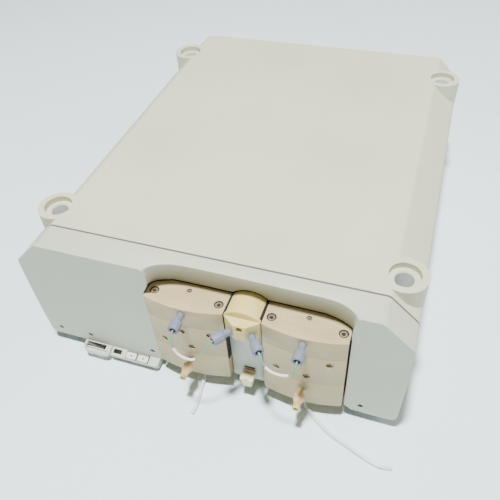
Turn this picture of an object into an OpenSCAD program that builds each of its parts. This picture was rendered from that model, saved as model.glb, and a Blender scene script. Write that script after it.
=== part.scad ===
// Two-head piston chromatography pump: housing, pump heads, cam drive and rear services.
// Every module draws in housing coordinates: x across, y back from the front face and
// z up from the bench. place() then puts the origin under the middle of the whole.

/* [Housing] */
// Width over the side walls
body_w = 340; // [330:1:350]
// Width of the flat top between the chamfers
top_w = 290; // [284:1:294]
// Depth from the front face to the rear edge
body_d = 404; // [400:1:420]
// Height of the housing without its feet
body_h = 126; // [124:1:130]
// Drop of the chamfer along each side
chamfer_h = 24; // [20:1:28]
// Wall thickness of the mouldings
wall = 3; // [2.5:0.5:4]
// Depth of the front bezel moulding
bezel_d = 26.4; // [26:0.1:28]
// Visible joint between neighbouring mouldings
joint_gap = 0.5; // [0.3:0.1:1]

/* [Feet and stacking sockets] */
// Height of the rubber feet
foot_h = 12; // [10:1:14]
// Diameter of the rubber feet
foot_d = 24; // [20:1:24]
// Diameter of the stacking socket that takes the foot of the unit above
socket_d = 25; // [25:0.5:27]
// Depth of the stacking socket
socket_depth = 5.5; // [5:0.5:12]
// Diameter of the hole down the corner post
post_bore_d = 16.4; // [12:0.2:18]
// Outer diameter of the corner post
post_d = 36.5; // [34:0.5:37]
// Sideways place of the posts from the middle
post_x = 152.5; // [150:0.5:153]
// Front and rear places of the posts behind the front face
post_front_y = 51; // [46:1:60]
post_rear_y = 356; // [330:1:370]

/* [Pump heads] */
// Middle of the head bay, right of the middle of the housing
bay_x = 38; // [30:1:40]
// Half the distance between the two pump heads
head_dx = 50.6; // [50.4:0.1:51]
// Width of a pump head
head_w = 69.5; // [68:0.5:69.5]
// How far the ends of a head stand in front of the front face
head_end = 2.5; // [1:0.5:4]
// Extra stand-out of the bulge in the middle of a head
head_bulge = 5; // [3:0.5:7]
// Height of the underside of the heads
head_z = 18; // [16:1:20]
// Heights of the inlet, chamber and outlet layers
inlet_h = 31.8; // [30:0.1:32]
chamber_h = 37.2; // [36:0.1:38]
outlet_h = 21.4; // [20:0.1:22]
// Distance between the two piston bores of a head
bore_pitch = 25.2; // [24:0.1:26]
// Height of the piston bores
bore_z = 69; // [68:0.5:70]

/* [Drive] */
// Piston travel over half a turn of the cam
cam_rise = 8; // [6:1:8]
// Smallest radius of the heart cams
cam_low = 12; // [11:0.5:13]
// Place of the camshaft behind the front face
cam_y = 86; // [86:1:90]
// Place of the motor shaft behind the camshaft
motor_dy = 70; // [66:1:76]
// Pitch diameters of the cam pulley and of the motor pulley
cam_pulley_d = 32; // [32:1:34]
motor_pulley_d = 16; // [16:1:17]

/* [Tubing] */
// Outer diameter of the outlet tubing
loop_d = 1.6; // [1.6:0.1:2]
// Outer diameter of the clear rinse tubing
rinse_d = 3.2; // [3:0.1:3.4]

/* [Hidden] */
$fn = 64;
eps = 0.5;

ivory = [0.90, 0.89, 0.84];
panel_grey = [0.80, 0.81, 0.79];
head_beige = [0.82, 0.74, 0.64];
block_cream = [0.88, 0.80, 0.66];
steel = [0.72, 0.72, 0.74];
dark = [0.12, 0.12, 0.13];
fitting_grey = [0.62, 0.65, 0.71];
tan_peek = [0.80, 0.66, 0.47];

// Housing levels
front_reach = 27;
rear_reach = body_d + 2;
mid_y = (rear_reach - front_reach) / 2;
top_z = foot_h + body_h;
chamfer_z = top_z - chamfer_h;
pan_t = 2;
pan_top = foot_h + pan_t;
side_bow = 1;
bow_z = foot_h + body_h * 0.43;
cover_y = bezel_d + joint_gap;
panel_y = body_d - 5;
posts = [for (x = [-post_x, post_x], y = [post_front_y, post_rear_y]) [x, y]];

// Head bay and head levels
head_gap = 1;
bay_w = 2 * head_dx + head_w + 2 * head_gap;
chamber_z = head_z + inlet_h + 0.2;
outlet_z = chamber_z + chamber_h + 0.3;
head_top = outlet_z + outlet_h;
bay_top = head_top + 1.2;
head_back = 30;
block_w = 2 * head_dx - head_w - 1.2;
block_z = 90;
ledge_z = head_top - 1;
arch_rise = 6.6;
arch_lift = 0.4;
arch_r = (pow(block_w / 2, 2) + pow(arch_rise, 2)) / (2 * arch_rise);
facet_w = 10;
facet_y = -10;
facet_yaw = 38;
facet_u = 0.6;
port_z = 104;
transducer_z = 99.5;
outlet_port_z = 102;
centre_port_z = 95;
inlet_port_z = 37;
lever_z = 23;
lever_x = bay_x + 0.5;
head_front = -head_end - head_bulge;
rinse_x = [-6, 87];
rinse_y = 6;

// Drive levels
plate_y = head_back + 0.2;
plate_t = 8;
frame_y = plate_y + plate_t + 0.2;
cheek_t = 6;
cheek_x = 30;
shaft_d = 10;
roller_r = 5;
cam_t = 6.4;
roller_gap = 0.25;
roller_y = cam_y - cam_low - cam_rise / 2 - roller_gap - roller_r;
carrier_d = 12;
guide_d = 15.2;
guide_l = 9;
plate_top = 121;
carrier_front = 3.8;
rod_d = 6;
motor_w = 42;
motor_l = 48;
motor_shaft_d = 5;
motor_y = cam_y + motor_dy;

// Hand-laid routes of the free tubing, from exit to end
loop_a = [[-12.6, -21.5, 102], [-12.6, -25.5, 101], [-12.5, -29, 96], [-11, -31, 89],
    [-7, -32, 83.5], [-1, -32, 80], [5, -30.5, 79], [10, -27.5, 82], [14.5, -24, 88],
    [18, -20.7, 94.3], [20.3, -17.8, 95]];
loop_b = [[55.7, -17.8, 95], [58, -20.7, 94.8], [60.8, -24, 92.2], [64.5, -26.5, 88.4],
    [70, -28, 86.2], [76.5, -28.5, 85.8], [82.5, -28.5, 87.6], [86.8, -28.5, 92], [88.4, -28, 97.2],
    [88.6, -25.5, 101.2], [88.6, -21.5, 102]];
rinse_a = [[-6, 6, 15], [-6, 5, 10.5], [-6, 1, 5.5], [-5.5, -6, 2.6], [-5, -13, 1.8],
    [-3.5, -22, 1.7], [-2.5, -30, 1.7], [-3, -39, 1.7]];
rinse_b = [[87, 6, 15], [87.5, 5, 10.5], [89.5, 1, 5.5], [93, -3.5, 2.6], [98.5, -8.5, 1.8],
    [106, -14.5, 1.7], [117, -21.5, 1.7], [132, -27.5, 1.7], [146, -33, 1.7],
    [159, -37, 1.7], [166.5, -37.5, 1.7], [173, -36, 1.7]];

// ---------------------------------------------------------------- shared shapes

// Moves housing coordinates to the part's own origin
module place() {
    translate([0, -mid_y, 0]) children();
}

// Turns a shape drawn along +z to lie along -y, then swings it to one side
module forward(p, yaw = 0) {
    translate(p) rotate([90, 0, yaw]) children();
}

// Turns a shape drawn along +z to lie along +x
module sideways(p) {
    translate(p) rotate([0, 90, 0]) children();
}

// Box between two corners
module block(a, b) {
    translate(a) cube(b - a);
}

// Housing outline seen from the front, drawn in by an inset
function outline(inset, low) = let (h = body_w / 2 - inset, t = top_w / 2 - 0.41 * inset)
    [[-h + side_bow, low], [-h - side_bow, bow_z], [-h, chamfer_z - 0.41 * inset],
     [-t, top_z - inset], [t, top_z - inset], [h, chamfer_z - 0.41 * inset],
     [h + side_bow, bow_z], [h - side_bow, low]];

// Slice of the housing between two depths
module section(inset, y0, y1, low) {
    translate([0, y1, 0]) rotate([90, 0, 0]) linear_extrude(y1 - y0) polygon(outline(inset, low));
}

// Middle of head a or head b
function head_x(side) = bay_x + side * head_dx;

// Middle of the left or right piston bore of a head
function bore_x(side, x) = head_x(side) + x * bore_pitch / 2;

// Plan of a pump head with its bulged front
module head_plan() {
    bulge_r = (pow(head_w / 2, 2) + pow(head_bulge, 2)) / (2 * head_bulge);
    intersection() {
        translate([-head_w / 2, head_front - eps]) square([head_w, head_back - head_front + eps]);
        translate([0, head_front + bulge_r]) circle(bulge_r, $fn = 240);
    }
}

// Depth at which a front screw's head sits, just under the bulged face
function front_seat(x) = head_front + head_bulge * pow(2 * x / head_w, 2) + 4.2;

// One layer of a pump head
module head_layer(side, z, h) {
    translate([head_x(side), 0, z]) linear_extrude(h) head_plan();
}

function unit(v) = v / norm(v);

// Point on a smooth curve through four neighbours
function smooth_point(a, b, c, d, t) =
    0.5 * (2 * b + (c - a) * t + (2 * a - 5 * b + 4 * c - d) * t * t
    + (3 * b - 3 * c + d - a) * t * t * t);

// Smooth route through hand-laid points, with a number of steps to each span
function route(p, steps) = let (n = len(p) - 1)
    [for (i = [0 : n - 1], k = [0 : steps - (i == n - 1 ? 0 : 1)])
        smooth_point(p[max(i - 1, 0)], p[i], p[i + 1], p[min(i + 2, n)], k / steps)];

function tangents(c) = let (n = len(c) - 1)
    [for (i = [0 : n]) unit(c[min(i + 1, n)] - c[max(i - 1, 0)])];

// Carries a sideways direction along the route without twist
function carry(t, s, i = 0) = i == len(t) ? [] :
    let (v = unit(s - t[i] * (s * t[i]))) concat([v], carry(t, v, i + 1));

// Round tube swept along a list of centres
module tube(centres, d, ref, sides = 8) {
    t = tangents(centres);
    s = carry(t, ref);
    n = len(centres);
    points = [for (i = [0 : n - 1], k = [0 : sides - 1]) let (a = 360 * k / sides)
        centres[i] + d / 2 * (cos(a) * s[i] + sin(a) * cross(t[i], s[i]))];
    walls = [for (i = [0 : n - 2], k = [0 : sides - 1]) let (m = (k + 1) % sides)
        [i * sides + k, (i + 1) * sides + k, (i + 1) * sides + m, i * sides + m]];
    ends = [[for (k = [0 : sides - 1]) k], [for (k = [sides - 1 : -1 : 0]) (n - 1) * sides + k]];
    polyhedron(points, concat(walls, ends), convexity = 4);
}

// Socket head screw, pointing down, with its head resting at z = 0
module socket_screw(head_d, head_h, shank_d, shank_l, key_d) {
    difference() {
        union() {
            cylinder(d = head_d, h = head_h);
            translate([0, 0, -shank_l]) cylinder(d = shank_d, h = shank_l + eps);
        }
        translate([0, 0, head_h / 2]) cylinder(d = key_d, h = head_h, $fn = 6);
    }
}

// ---------------------------------------------------------------- housing

module top_cover() place() color(ivory) {
    difference() {
        union() {
            difference() {
                section(0, cover_y, body_d, foot_h);
                section(wall, cover_y - eps, body_d + eps, foot_h - eps);
            }
            for (p = posts) translate([p.x, p.y, pan_top]) cylinder(d = post_d, h = top_z - pan_top);
        }
        for (p = posts) {
            translate([p.x, p.y, top_z - socket_depth]) cylinder(d = socket_d, h = socket_depth + 1);
            translate([p.x, p.y, pan_top - 1]) cylinder(d = post_bore_d, h = body_h);
        }
    }
}

// Plan of the finger scoop above the heads at the flat top and at the head tops
function scoop_plan(left, right, depth, round) =
    concat([[left, -1]], [for (a = [180 : -15 : 90]) [left + round + round * cos(a), depth - round * 0.7
        + round * 0.7 * sin(a)]], [for (a = [90 : -15 : 0]) [right - round + round * cos(a),
        depth - round * 0.7 + round * 0.7 * sin(a)]], [[right, -1]]);

module scoop() {
    hull() {
        translate([0, 0, top_z]) linear_extrude(0.2)
            polygon(scoop_plan(bay_x - bay_w / 2 - 1, bay_x + bay_w / 2 + 4, 12.5, 17));
        translate([0, 0, bay_top - 0.2]) linear_extrude(0.2)
            polygon(scoop_plan(bay_x - bay_w / 2, bay_x + bay_w / 2, 20.5, 26));
    }
}

bezel_screws = [-156.4, -123.6, -57.2, 138.3];
bezel_screw_z = 22;

module front_bezel() place() color(ivory) {
    difference() {
        union() {
            difference() {
                section(0, 0, bezel_d, foot_h);
                section(wall, wall, bezel_d + eps, foot_h - eps);
            }
            block([bay_x - bay_w / 2 - wall, wall / 2, foot_h],
                [bay_x + bay_w / 2 + wall, bezel_d - 2, top_z - wall / 2]);
        }
        block([bay_x - bay_w / 2, -1, foot_h - 1], [bay_x + bay_w / 2, bezel_d + 1, bay_top]);
        forward([bay_x, bezel_d + 1, ledge_z + arch_lift + arch_rise - arch_r])
            cylinder(r = arch_r + 1.2, h = bezel_d + 2, $fn = 128);
        scoop();
        for (x = bezel_screws) {
            forward([x, wall + 1, bezel_screw_z]) cylinder(d = 4.4, h = wall + 2);
            forward([x, 1.5, bezel_screw_z]) cylinder(d = 7, h = 3);
        }
    }
}

// Floor of the housing, with its front lip, side lips and cooling slots
module base_pan() place() color(steel) {
    side = body_w / 2 - wall - side_bow - 0.5;
    difference() {
        union() {
            block([-side, wall + 0.5, foot_h], [side, body_d - 6, pan_top]);
            for (s = [-1, 1]) translate([s * (side - 0.75), (post_front_y + post_rear_y) / 2, pan_top + 5])
                cube([1.5, post_rear_y - post_front_y - post_d - 4, 11], center = true);
        }
        block([bay_x - bay_w / 2 - wall - 0.5, 0, foot_h - 1],
            [bay_x + bay_w / 2 + wall + 0.5, head_back + 0.2, pan_top + 1]);
        for (x = [-120 : 16 : 120]) translate([x, 210, foot_h - 1]) {
            translate([-3, -25, 0]) cube([6, 50, 4]);
            for (y = [-25, 25]) translate([0, y, 0]) cylinder(d = 6, h = 4);
        }
    }
}

fan_x = -112;
fan_z = 68;
fan_w = 60;
fan_pin_d = 4;
inlet_x = 112;
inlet_z = 48;
link_x = [-48, -8, 32];
link_z = 92;
rear_screws = [[-150, 30], [-150, 100], [150, 30], [150, 100], [-60, 126], [60, 126]];

module rear_panel() place() color(panel_grey) {
    difference() {
        section(wall + 0.4, panel_y, panel_y + 2, pan_top + 0.2);
        for (r = [8 : 7 : 22], a = [0 : 360 / (r - 2) : 359])
            forward([fan_x + r * cos(a), panel_y + 3, fan_z + r * sin(a)]) cylinder(d = 4.4, h = 4, $fn = 24);
        block([inlet_x - 24, panel_y - 1, inlet_z - 14.2], [inlet_x + 24, panel_y + 3, inlet_z + 14.2]);
        for (x = link_x) forward([x, panel_y + 3, link_z]) cylinder(d = 12.4, h = 4);
        block([-32.3, panel_y - 1, 43.7], [12.3, panel_y + 3, 56.3]);
        for (p = rear_screws) forward([p.x, panel_y + 3, p.y]) cylinder(d = 4.4, h = 4);
    }
}

module rubber_feet() place() color(dark) {
    for (p = posts) translate([p.x, p.y, 0]) difference() {
        union() {
            translate([0, 0, 1.5]) cylinder(d = foot_d, h = foot_h - 1.5);
            cylinder(d = foot_d - 3, h = 2);
        }
        translate([0, 0, -1]) cylinder(d = 9, h = 5);
    }
}

module housing_screws() place() color(steel) {
    for (x = bezel_screws) forward([x, 1.5, bezel_screw_z]) pan_screw();
    for (p = rear_screws) translate([p.x, panel_y + 2, p.y]) rotate([-90, 0, 0]) pan_screw();
}

// Low head screw that points along -z, with its head resting at z = 0
module pan_screw() {
    difference() {
        union() {
            cylinder(d = 6.6, h = 1.2);
            translate([0, 0, -6]) cylinder(d = 4, h = 6.5);
        }
        translate([0, 0, 0.4]) cylinder(d = 2.6, h = 2, $fn = 6);
    }
}

// ---------------------------------------------------------------- controls

strip_x0 = -131.5;
strip_x1 = -51;
strip_y = -8.5;
key_x = [-80, -67.5];
key_w = 10.6;
key_y = -7.6;
rocker_x = -118.5;
rocker_z = 7.7;
rocker_pin_d = 2.4;
// The ledge is cut back to this line behind the guard
ledge_y = -5.9;
guard_x = [rocker_x - 10.6, rocker_x + 17.2];
guard_y = -11.7;
guard_z = [6.6, 13.4];
guard_wall = 1.2;

// Sloping ledge under the left panel that carries the switch, window and keys
module control_strip() place() color(ivory) {
    difference() {
        translate([strip_x0, 0, 0]) rotate([90, 0, 90]) linear_extrude(strip_x1 - strip_x0)
            polygon([[20, 4], [strip_y + 1.9, 4], [strip_y, 6.9], [strip_y, 9.2], [-0.3, foot_h - 0.4],
                [20, foot_h - 0.4]]);
        for (x = key_x) block([x - key_w / 2 - 0.3, key_y - 0.3, 6.2], [x + key_w / 2 + 0.3, -0.6, 13]);
        block([-99.3, key_y + 1.7, 8], [-90.7, -1.7, 13]);
        block([strip_x0 - 1, strip_y - 1, 3], [guard_x[1] + 0.3, ledge_y, 13]);
        block([rocker_x - 10.2, ledge_y + 0.8, 5.2], [rocker_x + 10.2, -1, 13]);
        forward([rocker_x, -0.4, rocker_z]) cylinder(d = rocker_pin_d + 0.1, h = 5.4);
        translate([strip_x1, strip_y, 0]) rotate([0, 0, 45]) cube([5, 5, 30], center = true);
    }
}

module status_window() place() color(dark)
    block([-99, key_y + 2, 8.2], [-91, -2, 10.6]);

module key_cap(x) {
    block([x - key_w / 2, key_y, 7.4], [x + key_w / 2, -0.9, 10.4]);
    translate([x, (key_y - 0.9) / 2, 10.2]) cylinder(d = 1.6, h = 0.5, $fn = 24);
}

module left_key() place() color(block_cream) key_cap(key_x[0]);

module right_key() place() color(block_cream) key_cap(key_x[1]);

module power_rocker() place() color(dark) {
    translate([rocker_x, 0, rocker_z]) {
        forward([0, -0.6, 0]) cylinder(d = rocker_pin_d, h = 5);
        forward([0, -1.3, 0]) linear_extrude(3.5)
            polygon([[-2, 0], [2, 0], [2, 1.7], [9, 1.7], [9, 3.5], [0, 2.6], [-9, 4.7], [-9, 1.7],
                [-2, 1.7]]);
    }
}

// Plan of the guard, a slot shape with rounded front corners
module guard_plan(inset, back) {
    r = 5 - inset;
    x0 = guard_x[0] + inset;
    x1 = guard_x[1] - inset;
    y0 = guard_y + inset;
    for (x = [x0 + r, x1 - r]) translate([x, y0 + r]) circle(r);
    translate([x0 + r, y0]) square([x1 - x0 - 2 * r, r + 1]);
    translate([x0, y0 + r]) square([x1 - x0, back - y0 - r]);
}

// Clear guard in front of the power rocker, with two ears back to the panel
module splash_hood() place() color([0.86, 0.90, 0.90, 0.4]) {
    difference() {
        translate([0, 0, guard_z[0]]) linear_extrude(guard_z[1] - guard_z[0])
            guard_plan(0, ledge_y - 0.1);
        translate([0, 0, guard_z[0] + guard_wall]) linear_extrude(guard_z[1])
            guard_plan(guard_wall, ledge_y + 1);
        block([guard_x[0] - 1, ledge_y - 0.1, 3], [guard_x[1] + 1, 1, 15]);
    }
    for (x = [guard_x[0], guard_x[1] - guard_wall])
        block([x, ledge_y - 0.6, foot_h - 0.1], [x + guard_wall, -0.4, guard_z[1]]);
}

// ---------------------------------------------------------------- centre of the bay

// Light panel between the heads, with the lever's hole and slot
module centre_web() place() color(panel_grey) {
    difference() {
        union() {
            block([bay_x - block_w / 2, 4, 14.2], [bay_x + block_w / 2, 7, block_z - 0.3]);
            for (s = [-1, 1]) translate([bay_x + s * (block_w / 2 - 1), 17, 52])
                cube([2, 25, 75], center = true);
        }
        forward([lever_x, 8, lever_z]) cylinder(d = 8.2, h = 6);
        block([lever_x - 5, 3, lever_z + 6.5], [lever_x + 5, 8, lever_z + 9]);
    }
}

module centre_block() place() color(block_cream) {
    difference() {
        union() {
            translate([bay_x, head_back, 0]) rotate([90, 0, 0]) linear_extrude(head_back + 1.6)
                intersection() {
                    translate([-block_w / 2, block_z]) square([block_w, 40]);
                    translate([0, ledge_z + arch_lift + arch_rise - arch_r]) circle(arch_r, $fn = 128);
                }
            translate([bay_x, 0, block_z]) linear_extrude(ledge_z - block_z)
                polygon([[-block_w / 2, 0], [-block_w / 2, -2], [-facet_w / 2, facet_y],
                    [facet_w / 2, facet_y], [block_w / 2, -2], [block_w / 2, 0]]);
        }
        forward([bay_x, facet_y + 9, port_z]) cylinder(d = 5.6, h = 12);
        for (s = [-1, 1]) forward(centre_port(s), s * facet_yaw)
            translate([0, 0, -7]) cylinder(d = 6.6, h = 9);
        forward([bay_x, head_back + 1, transducer_z]) cylinder(d = 17.4, h = 17);
    }
}

// Middle of the angled port on each slanted facet
function centre_port(s) = [bay_x + s * (block_w / 2 - facet_u * (block_w - facet_w) / 2),
    -2 + facet_u * (facet_y + 2), centre_port_z];

module transducer() place() color(steel) {
    forward([bay_x, 52, transducer_z]) cylinder(d = 17, h = 37);
    forward([bay_x, 58, transducer_z]) cylinder(d = 12, h = 6);
}

// Cream lever under the web that turns the purge valve
module purge_lever() place() color(block_cream) {
    forward([lever_x, 14, lever_z]) cylinder(d = 8, h = 11);
    difference() {
        forward([lever_x, 3.4, lever_z]) intersection() {
            cylinder(d = 13, h = 12.4);
            translate([-6, -8, 0]) cube([12, 13, 12.4]);
        }
        block([lever_x - 3.6, -7.6, lever_z + 2.8], [lever_x + 3.6, 1, lever_z + 6]);
    }
}

// ---------------------------------------------------------------- pump heads

cap_dx = 28.5;
cap_y = 6;
bleed_y = 13;
front_screws = [[-22.4, 59], [-2.7, 78.8], [3.7, 59], [21.6, 78.8]];
valve_y = 12;

module outlet_block(side) color(head_beige) difference() {
    head_layer(side, outlet_z, outlet_h);
    translate([head_x(side), 0, head_top]) {
        for (x = [-cap_dx, cap_dx]) translate([x, cap_y, 0]) {
            translate([0, 0, -4.4]) cylinder(d = 8, h = 6);
            translate([0, 0, -30]) cylinder(d = 4.4, h = 40);
        }
        translate([0, bleed_y, -2.6]) cylinder(d = 4.6, h = 6);
        translate([0, bleed_y, -9]) cylinder(d = 2.4, h = 12);
    }
    forward([head_x(side), head_front + 9, outlet_port_z]) cylinder(d = 6.6, h = 12);
    for (x = [-1, 1]) translate([bore_x(side, x), valve_y, outlet_z - 1])
        cylinder(d = 8.2, h = 14);
}

module chamber_block(side) color(head_beige) difference() {
    head_layer(side, chamber_z, chamber_h);
    for (x = [-1, 1]) {
        forward([bore_x(side, x), head_back + 1, bore_z]) cylinder(d = rod_d + 0.4, h = 24);
        forward([bore_x(side, x), head_back + 1, bore_z]) cylinder(d = 12, h = 7);
    }
    for (x = [-cap_dx, cap_dx]) translate([head_x(side) + x, cap_y, chamber_z - 1])
        cylinder(d = 4.4, h = chamber_h + 2);
    for (p = front_screws) {
        forward([head_x(side) + p.x, front_seat(p.x), p.y]) cylinder(d = 6, h = 12);
        forward([head_x(side) + p.x, front_seat(p.x) + 9, p.y]) cylinder(d = 3.2, h = 12);
    }
}

module inlet_block(side) color(head_beige) difference() {
    head_layer(side, head_z, inlet_h);
    forward([head_x(side), head_front + 9, inlet_port_z]) cylinder(d = 5.4, h = 12);
    for (x = [-1, 1]) translate([bore_x(side, x), valve_y, head_z + inlet_h - 13])
        cylinder(d = 8.2, h = 14);
    for (x = [-cap_dx, cap_dx]) translate([head_x(side) + x, cap_y, head_z + inlet_h - 12])
        cylinder(d = 4, h = 13);
}

module outlet_block_a() place() outlet_block(-1);

module outlet_block_b() place() outlet_block(1);

module chamber_block_a() place() chamber_block(-1);

module chamber_block_b() place() chamber_block(1);

module inlet_block_a() place() inlet_block(-1);

module inlet_block_b() place() inlet_block(1);

module cap_screws() place() color(steel) {
    for (s = [-1, 1], x = [-cap_dx, cap_dx]) translate([head_x(s) + x, cap_y, head_top - 4.4])
        socket_screw(7, 3.8, 3.9, outlet_h + chamber_h, 3);
}

module bleed_screws() place() color(steel) {
    for (s = [-1, 1]) translate([head_x(s), bleed_y, head_top - 2.6])
        socket_screw(3.8, 1.8, 2.2, 5, 1.6);
}

module chamber_screws() place() color(steel) {
    for (s = [-1, 1], p = front_screws) forward([head_x(s) + p.x, front_seat(p.x), p.y])
        socket_screw(5.5, 3, 3, 8, 2.5);
}

module check_valves() place() color(steel) {
    for (s = [-1, 1], x = [-1, 1]) translate([bore_x(s, x), valve_y, 0]) {
        translate([0, 0, outlet_z + 0.2]) cylinder(d = 8, h = 12);
        translate([0, 0, head_z + inlet_h - 12.4]) cylinder(d = 8, h = 12);
    }
}

module piston_seals() place() color(panel_grey) {
    for (s = [-1, 1], x = [-1, 1]) forward([bore_x(s, x), head_back - 0.5, bore_z])
        difference() {
            cylinder(d = 11.8, h = 5);
            translate([0, 0, -1]) cylinder(d = rod_d + 0.1, h = 8);
        }
}

// Finger-tight fitting with its neck at z = 0 and its tube mouth at the far end
module finger_fitting() {
    difference() {
        union() {
            translate([0, 0, -6]) cylinder(d = 6.2, h = 7);
            cylinder(d = 6.3, h = 6.5);
            translate([0, 0, 6]) cylinder(d1 = 7.6, d2 = 9.5, h = 1.2);
            translate([0, 0, 7.2]) cylinder(d = 9.5, h = 9.3);
            for (a = [0 : 45 : 359]) rotate(a) translate([4.6, 0, 7.4]) cylinder(d = 1, h = 8.6, $fn = 16);
        }
        translate([0, 0, 14]) cylinder(d = 5.4, h = 3);
    }
}

module outlet_fittings() place() color(fitting_grey) {
    for (s = [-1, 1]) {
        forward([head_x(s), head_front, outlet_port_z]) finger_fitting();
        forward(centre_port(s), s * facet_yaw) finger_fitting();
    }
}

module inlet_fittings() place() color(tan_peek) {
    for (s = [-1, 1]) forward([head_x(s), head_front, inlet_port_z]) difference() {
        union() {
            translate([0, 0, -7]) cylinder(d = 5.2, h = 12);
            translate([0, 0, 4]) cylinder(d1 = 6.6, d2 = 9, h = 2);
            translate([0, 0, 6]) cylinder(d = 9, h = 5);
            translate([0, 0, 11]) cylinder(d1 = 9, d2 = 6.4, h = 2);
            translate([0, 0, 13]) cylinder(d = 6.4, h = 6.5);
        }
        translate([0, 0, 10]) cylinder(d = 3.6, h = 12);
    }
}

module rinse_barbs() place() color(dark) {
    for (x = rinse_x) translate([x, rinse_y, 15.4]) cylinder(d = 6, h = head_z - 15.4);
}

module loop_tube_a() place() color([0.47, 0.66, 0.55])
    tube(route(loop_a, 3), loop_d, [1, 0, 0]);

module loop_tube_b() place() color([0.47, 0.66, 0.55])
    tube(route(loop_b, 3), loop_d, [0, 0, 1]);

// White shrink sleeve over the middle of each loop
module loop_sleeves() place() color("white") {
    a = route(loop_a, 3);
    b = route(loop_b, 3);
    tube([for (i = [9 : 19]) a[i]], loop_d + 0.5, [0, 1, 0]);
    tube([for (i = [9 : 19]) b[i]], loop_d + 0.5, [0, 1, 0]);
}

module rinse_tube_a() place() color([0.9, 0.92, 0.92])
    tube(route(rinse_a, 2), rinse_d, [1, 0, 0]);

module rinse_tube_b() place() color([0.9, 0.92, 0.92])
    tube(route(rinse_b, 2), rinse_d, [1, 0, 0]);

// ---------------------------------------------------------------- drive

// Aluminium plate that carries the heads in front and the cam frames behind
module head_plate() place() color(steel) {
    difference() {
        union() {
            block([bay_x - bay_w / 2 - 10, plate_y, pan_top],
                [bay_x + bay_w / 2 + 10, plate_y + plate_t, plate_top]);
            for (s = [-1, 1], x = [-1, 1]) forward([bore_x(s, x), plate_y + plate_t + guide_l, bore_z])
                cylinder(d = guide_d, h = guide_l + 1);
        }
        for (s = [-1, 1], x = [-1, 1]) forward([bore_x(s, x), plate_y + plate_t + guide_l + 1, bore_z])
            cylinder(d = carrier_d + 0.1, h = plate_t + guide_l + 2);
        forward([bay_x, plate_y + plate_t + 1, transducer_z]) cylinder(d = 18, h = plate_t + 2);
        forward([lever_x, plate_y + plate_t + 1, lever_z]) cylinder(d = 9, h = plate_t + 2);
    }
}

// Upright side plate of a cam frame, from the head plate back to a given depth
module cheek(s, back) {
    translate([s * (cheek_x + cheek_t / 2), (frame_y + back) / 2, (pan_top + bay_top) / 2 - 1])
        cube([cheek_t, back - frame_y, bay_top - pan_top - 2], center = true);
}

// Two cheeks and a tie bar for each head; the outer cheek also carries the motor
module cam_frames() place() color(steel) {
    for (s = [-1, 1]) translate([head_x(s), 0, 0]) difference() {
        union() {
            cheek(s, motor_y + 28);
            cheek(-s, cam_y + 28);
            block([-cheek_x - 1, cam_y + 24, pan_top + 6], [cheek_x + 1, cam_y + 28, pan_top + 30]);
        }
        for (x = [-1, 1]) sideways([x * (cheek_x + cheek_t / 2) - cheek_t, cam_y, bore_z])
            cylinder(d = 22.1, h = 2 * cheek_t);
        sideways([s * (cheek_x + cheek_t / 2) - cheek_t, motor_y, bore_z]) cylinder(d = 24, h = 2 * cheek_t);
    }
}

module shaft_bearings() place() color(steel) {
    for (s = [-1, 1], x = [-1, 1])
        sideways([head_x(s) + x * (cheek_x + cheek_t / 2) - cheek_t / 2, cam_y, bore_z]) difference() {
            cylinder(d = 22, h = cheek_t);
            translate([0, 0, -1]) cylinder(d = shaft_d + 0.1, h = cheek_t + 2);
        }
}

// Constant-speed heart cam whose lowest point faces along +x of its own plane
module heart_cam(t) {
    linear_extrude(t) difference() {
        polygon([for (a = [-180 : 6 : 174]) (cam_low + cam_rise * abs(a) / 180) * [cos(a), sin(a)]]);
        circle(d = shaft_d - 0.1);
    }
}

// Toothed pulley between two flanges, along +z
module toothed_pulley(d, bore) {
    teeth = round(d * PI / 5);
    difference() {
        union() {
            cylinder(d = d + 3, h = 1);
            cylinder(d = d - 1.2, h = 9);
            translate([0, 0, 8]) cylinder(d = d + 3, h = 1);
            for (a = [0 : 360 / teeth : 359]) rotate(a)
                translate([d / 2 - 1, -0.9, 0.5]) cube([1, 1.8, 8]);
        }
        translate([0, 0, -1]) cylinder(d = bore, h = 12);
    }
}

pulley_x = cheek_x + cheek_t + 1.5;

module camshaft(side) color(steel) translate([head_x(side), cam_y, bore_z]) {
    rotate([0, side * 90, 0]) {
        translate([0, 0, -cheek_x - cheek_t - 1]) cylinder(d = shaft_d, h = 2 * cheek_x + 2 * cheek_t + 12);
        translate([0, 0, pulley_x]) toothed_pulley(cam_pulley_d, shaft_d - 0.1);
    }
    for (x = [-1, 1]) sideways([x * bore_pitch / 2 - cam_t / 2, 0, 0]) rotate(x > 0 ? 0 : 180)
        heart_cam(cam_t);
}

module camshaft_a() place() camshaft(-1);

module camshaft_b() place() camshaft(1);

// Motor shaft with its small pulley
module motor_pulley(side) color(steel) translate([head_x(side), motor_y, bore_z])
    rotate([0, side * 90, 0]) {
        translate([0, 0, cheek_x - 3]) cylinder(d = motor_shaft_d, h = 22);
        translate([0, 0, pulley_x]) toothed_pulley(motor_pulley_d, motor_shaft_d - 0.1);
    }

module motor_pulley_a() place() motor_pulley(-1);

module motor_pulley_b() place() motor_pulley(1);

module stepper_motors() place() color(dark) {
    for (s = [-1, 1]) translate([head_x(s), motor_y, bore_z]) rotate([0, s * 90, 0]) difference() {
        union() {
            translate([0, 0, cheek_x - motor_l / 2 - 0.1]) cube([motor_w, motor_w, motor_l], center = true);
            translate([0, 0, cheek_x - 1]) cylinder(d = 22, h = 3);
        }
        translate([0, 0, cheek_x - 3.2]) cylinder(d = motor_shaft_d + 0.1, h = 6);
        for (x = [-21, 21], y = [-21, 21]) translate([x, y, cheek_x - motor_l / 2])
            rotate(45) cube([5, 5, motor_l + 2], center = true);
    }
}

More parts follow.
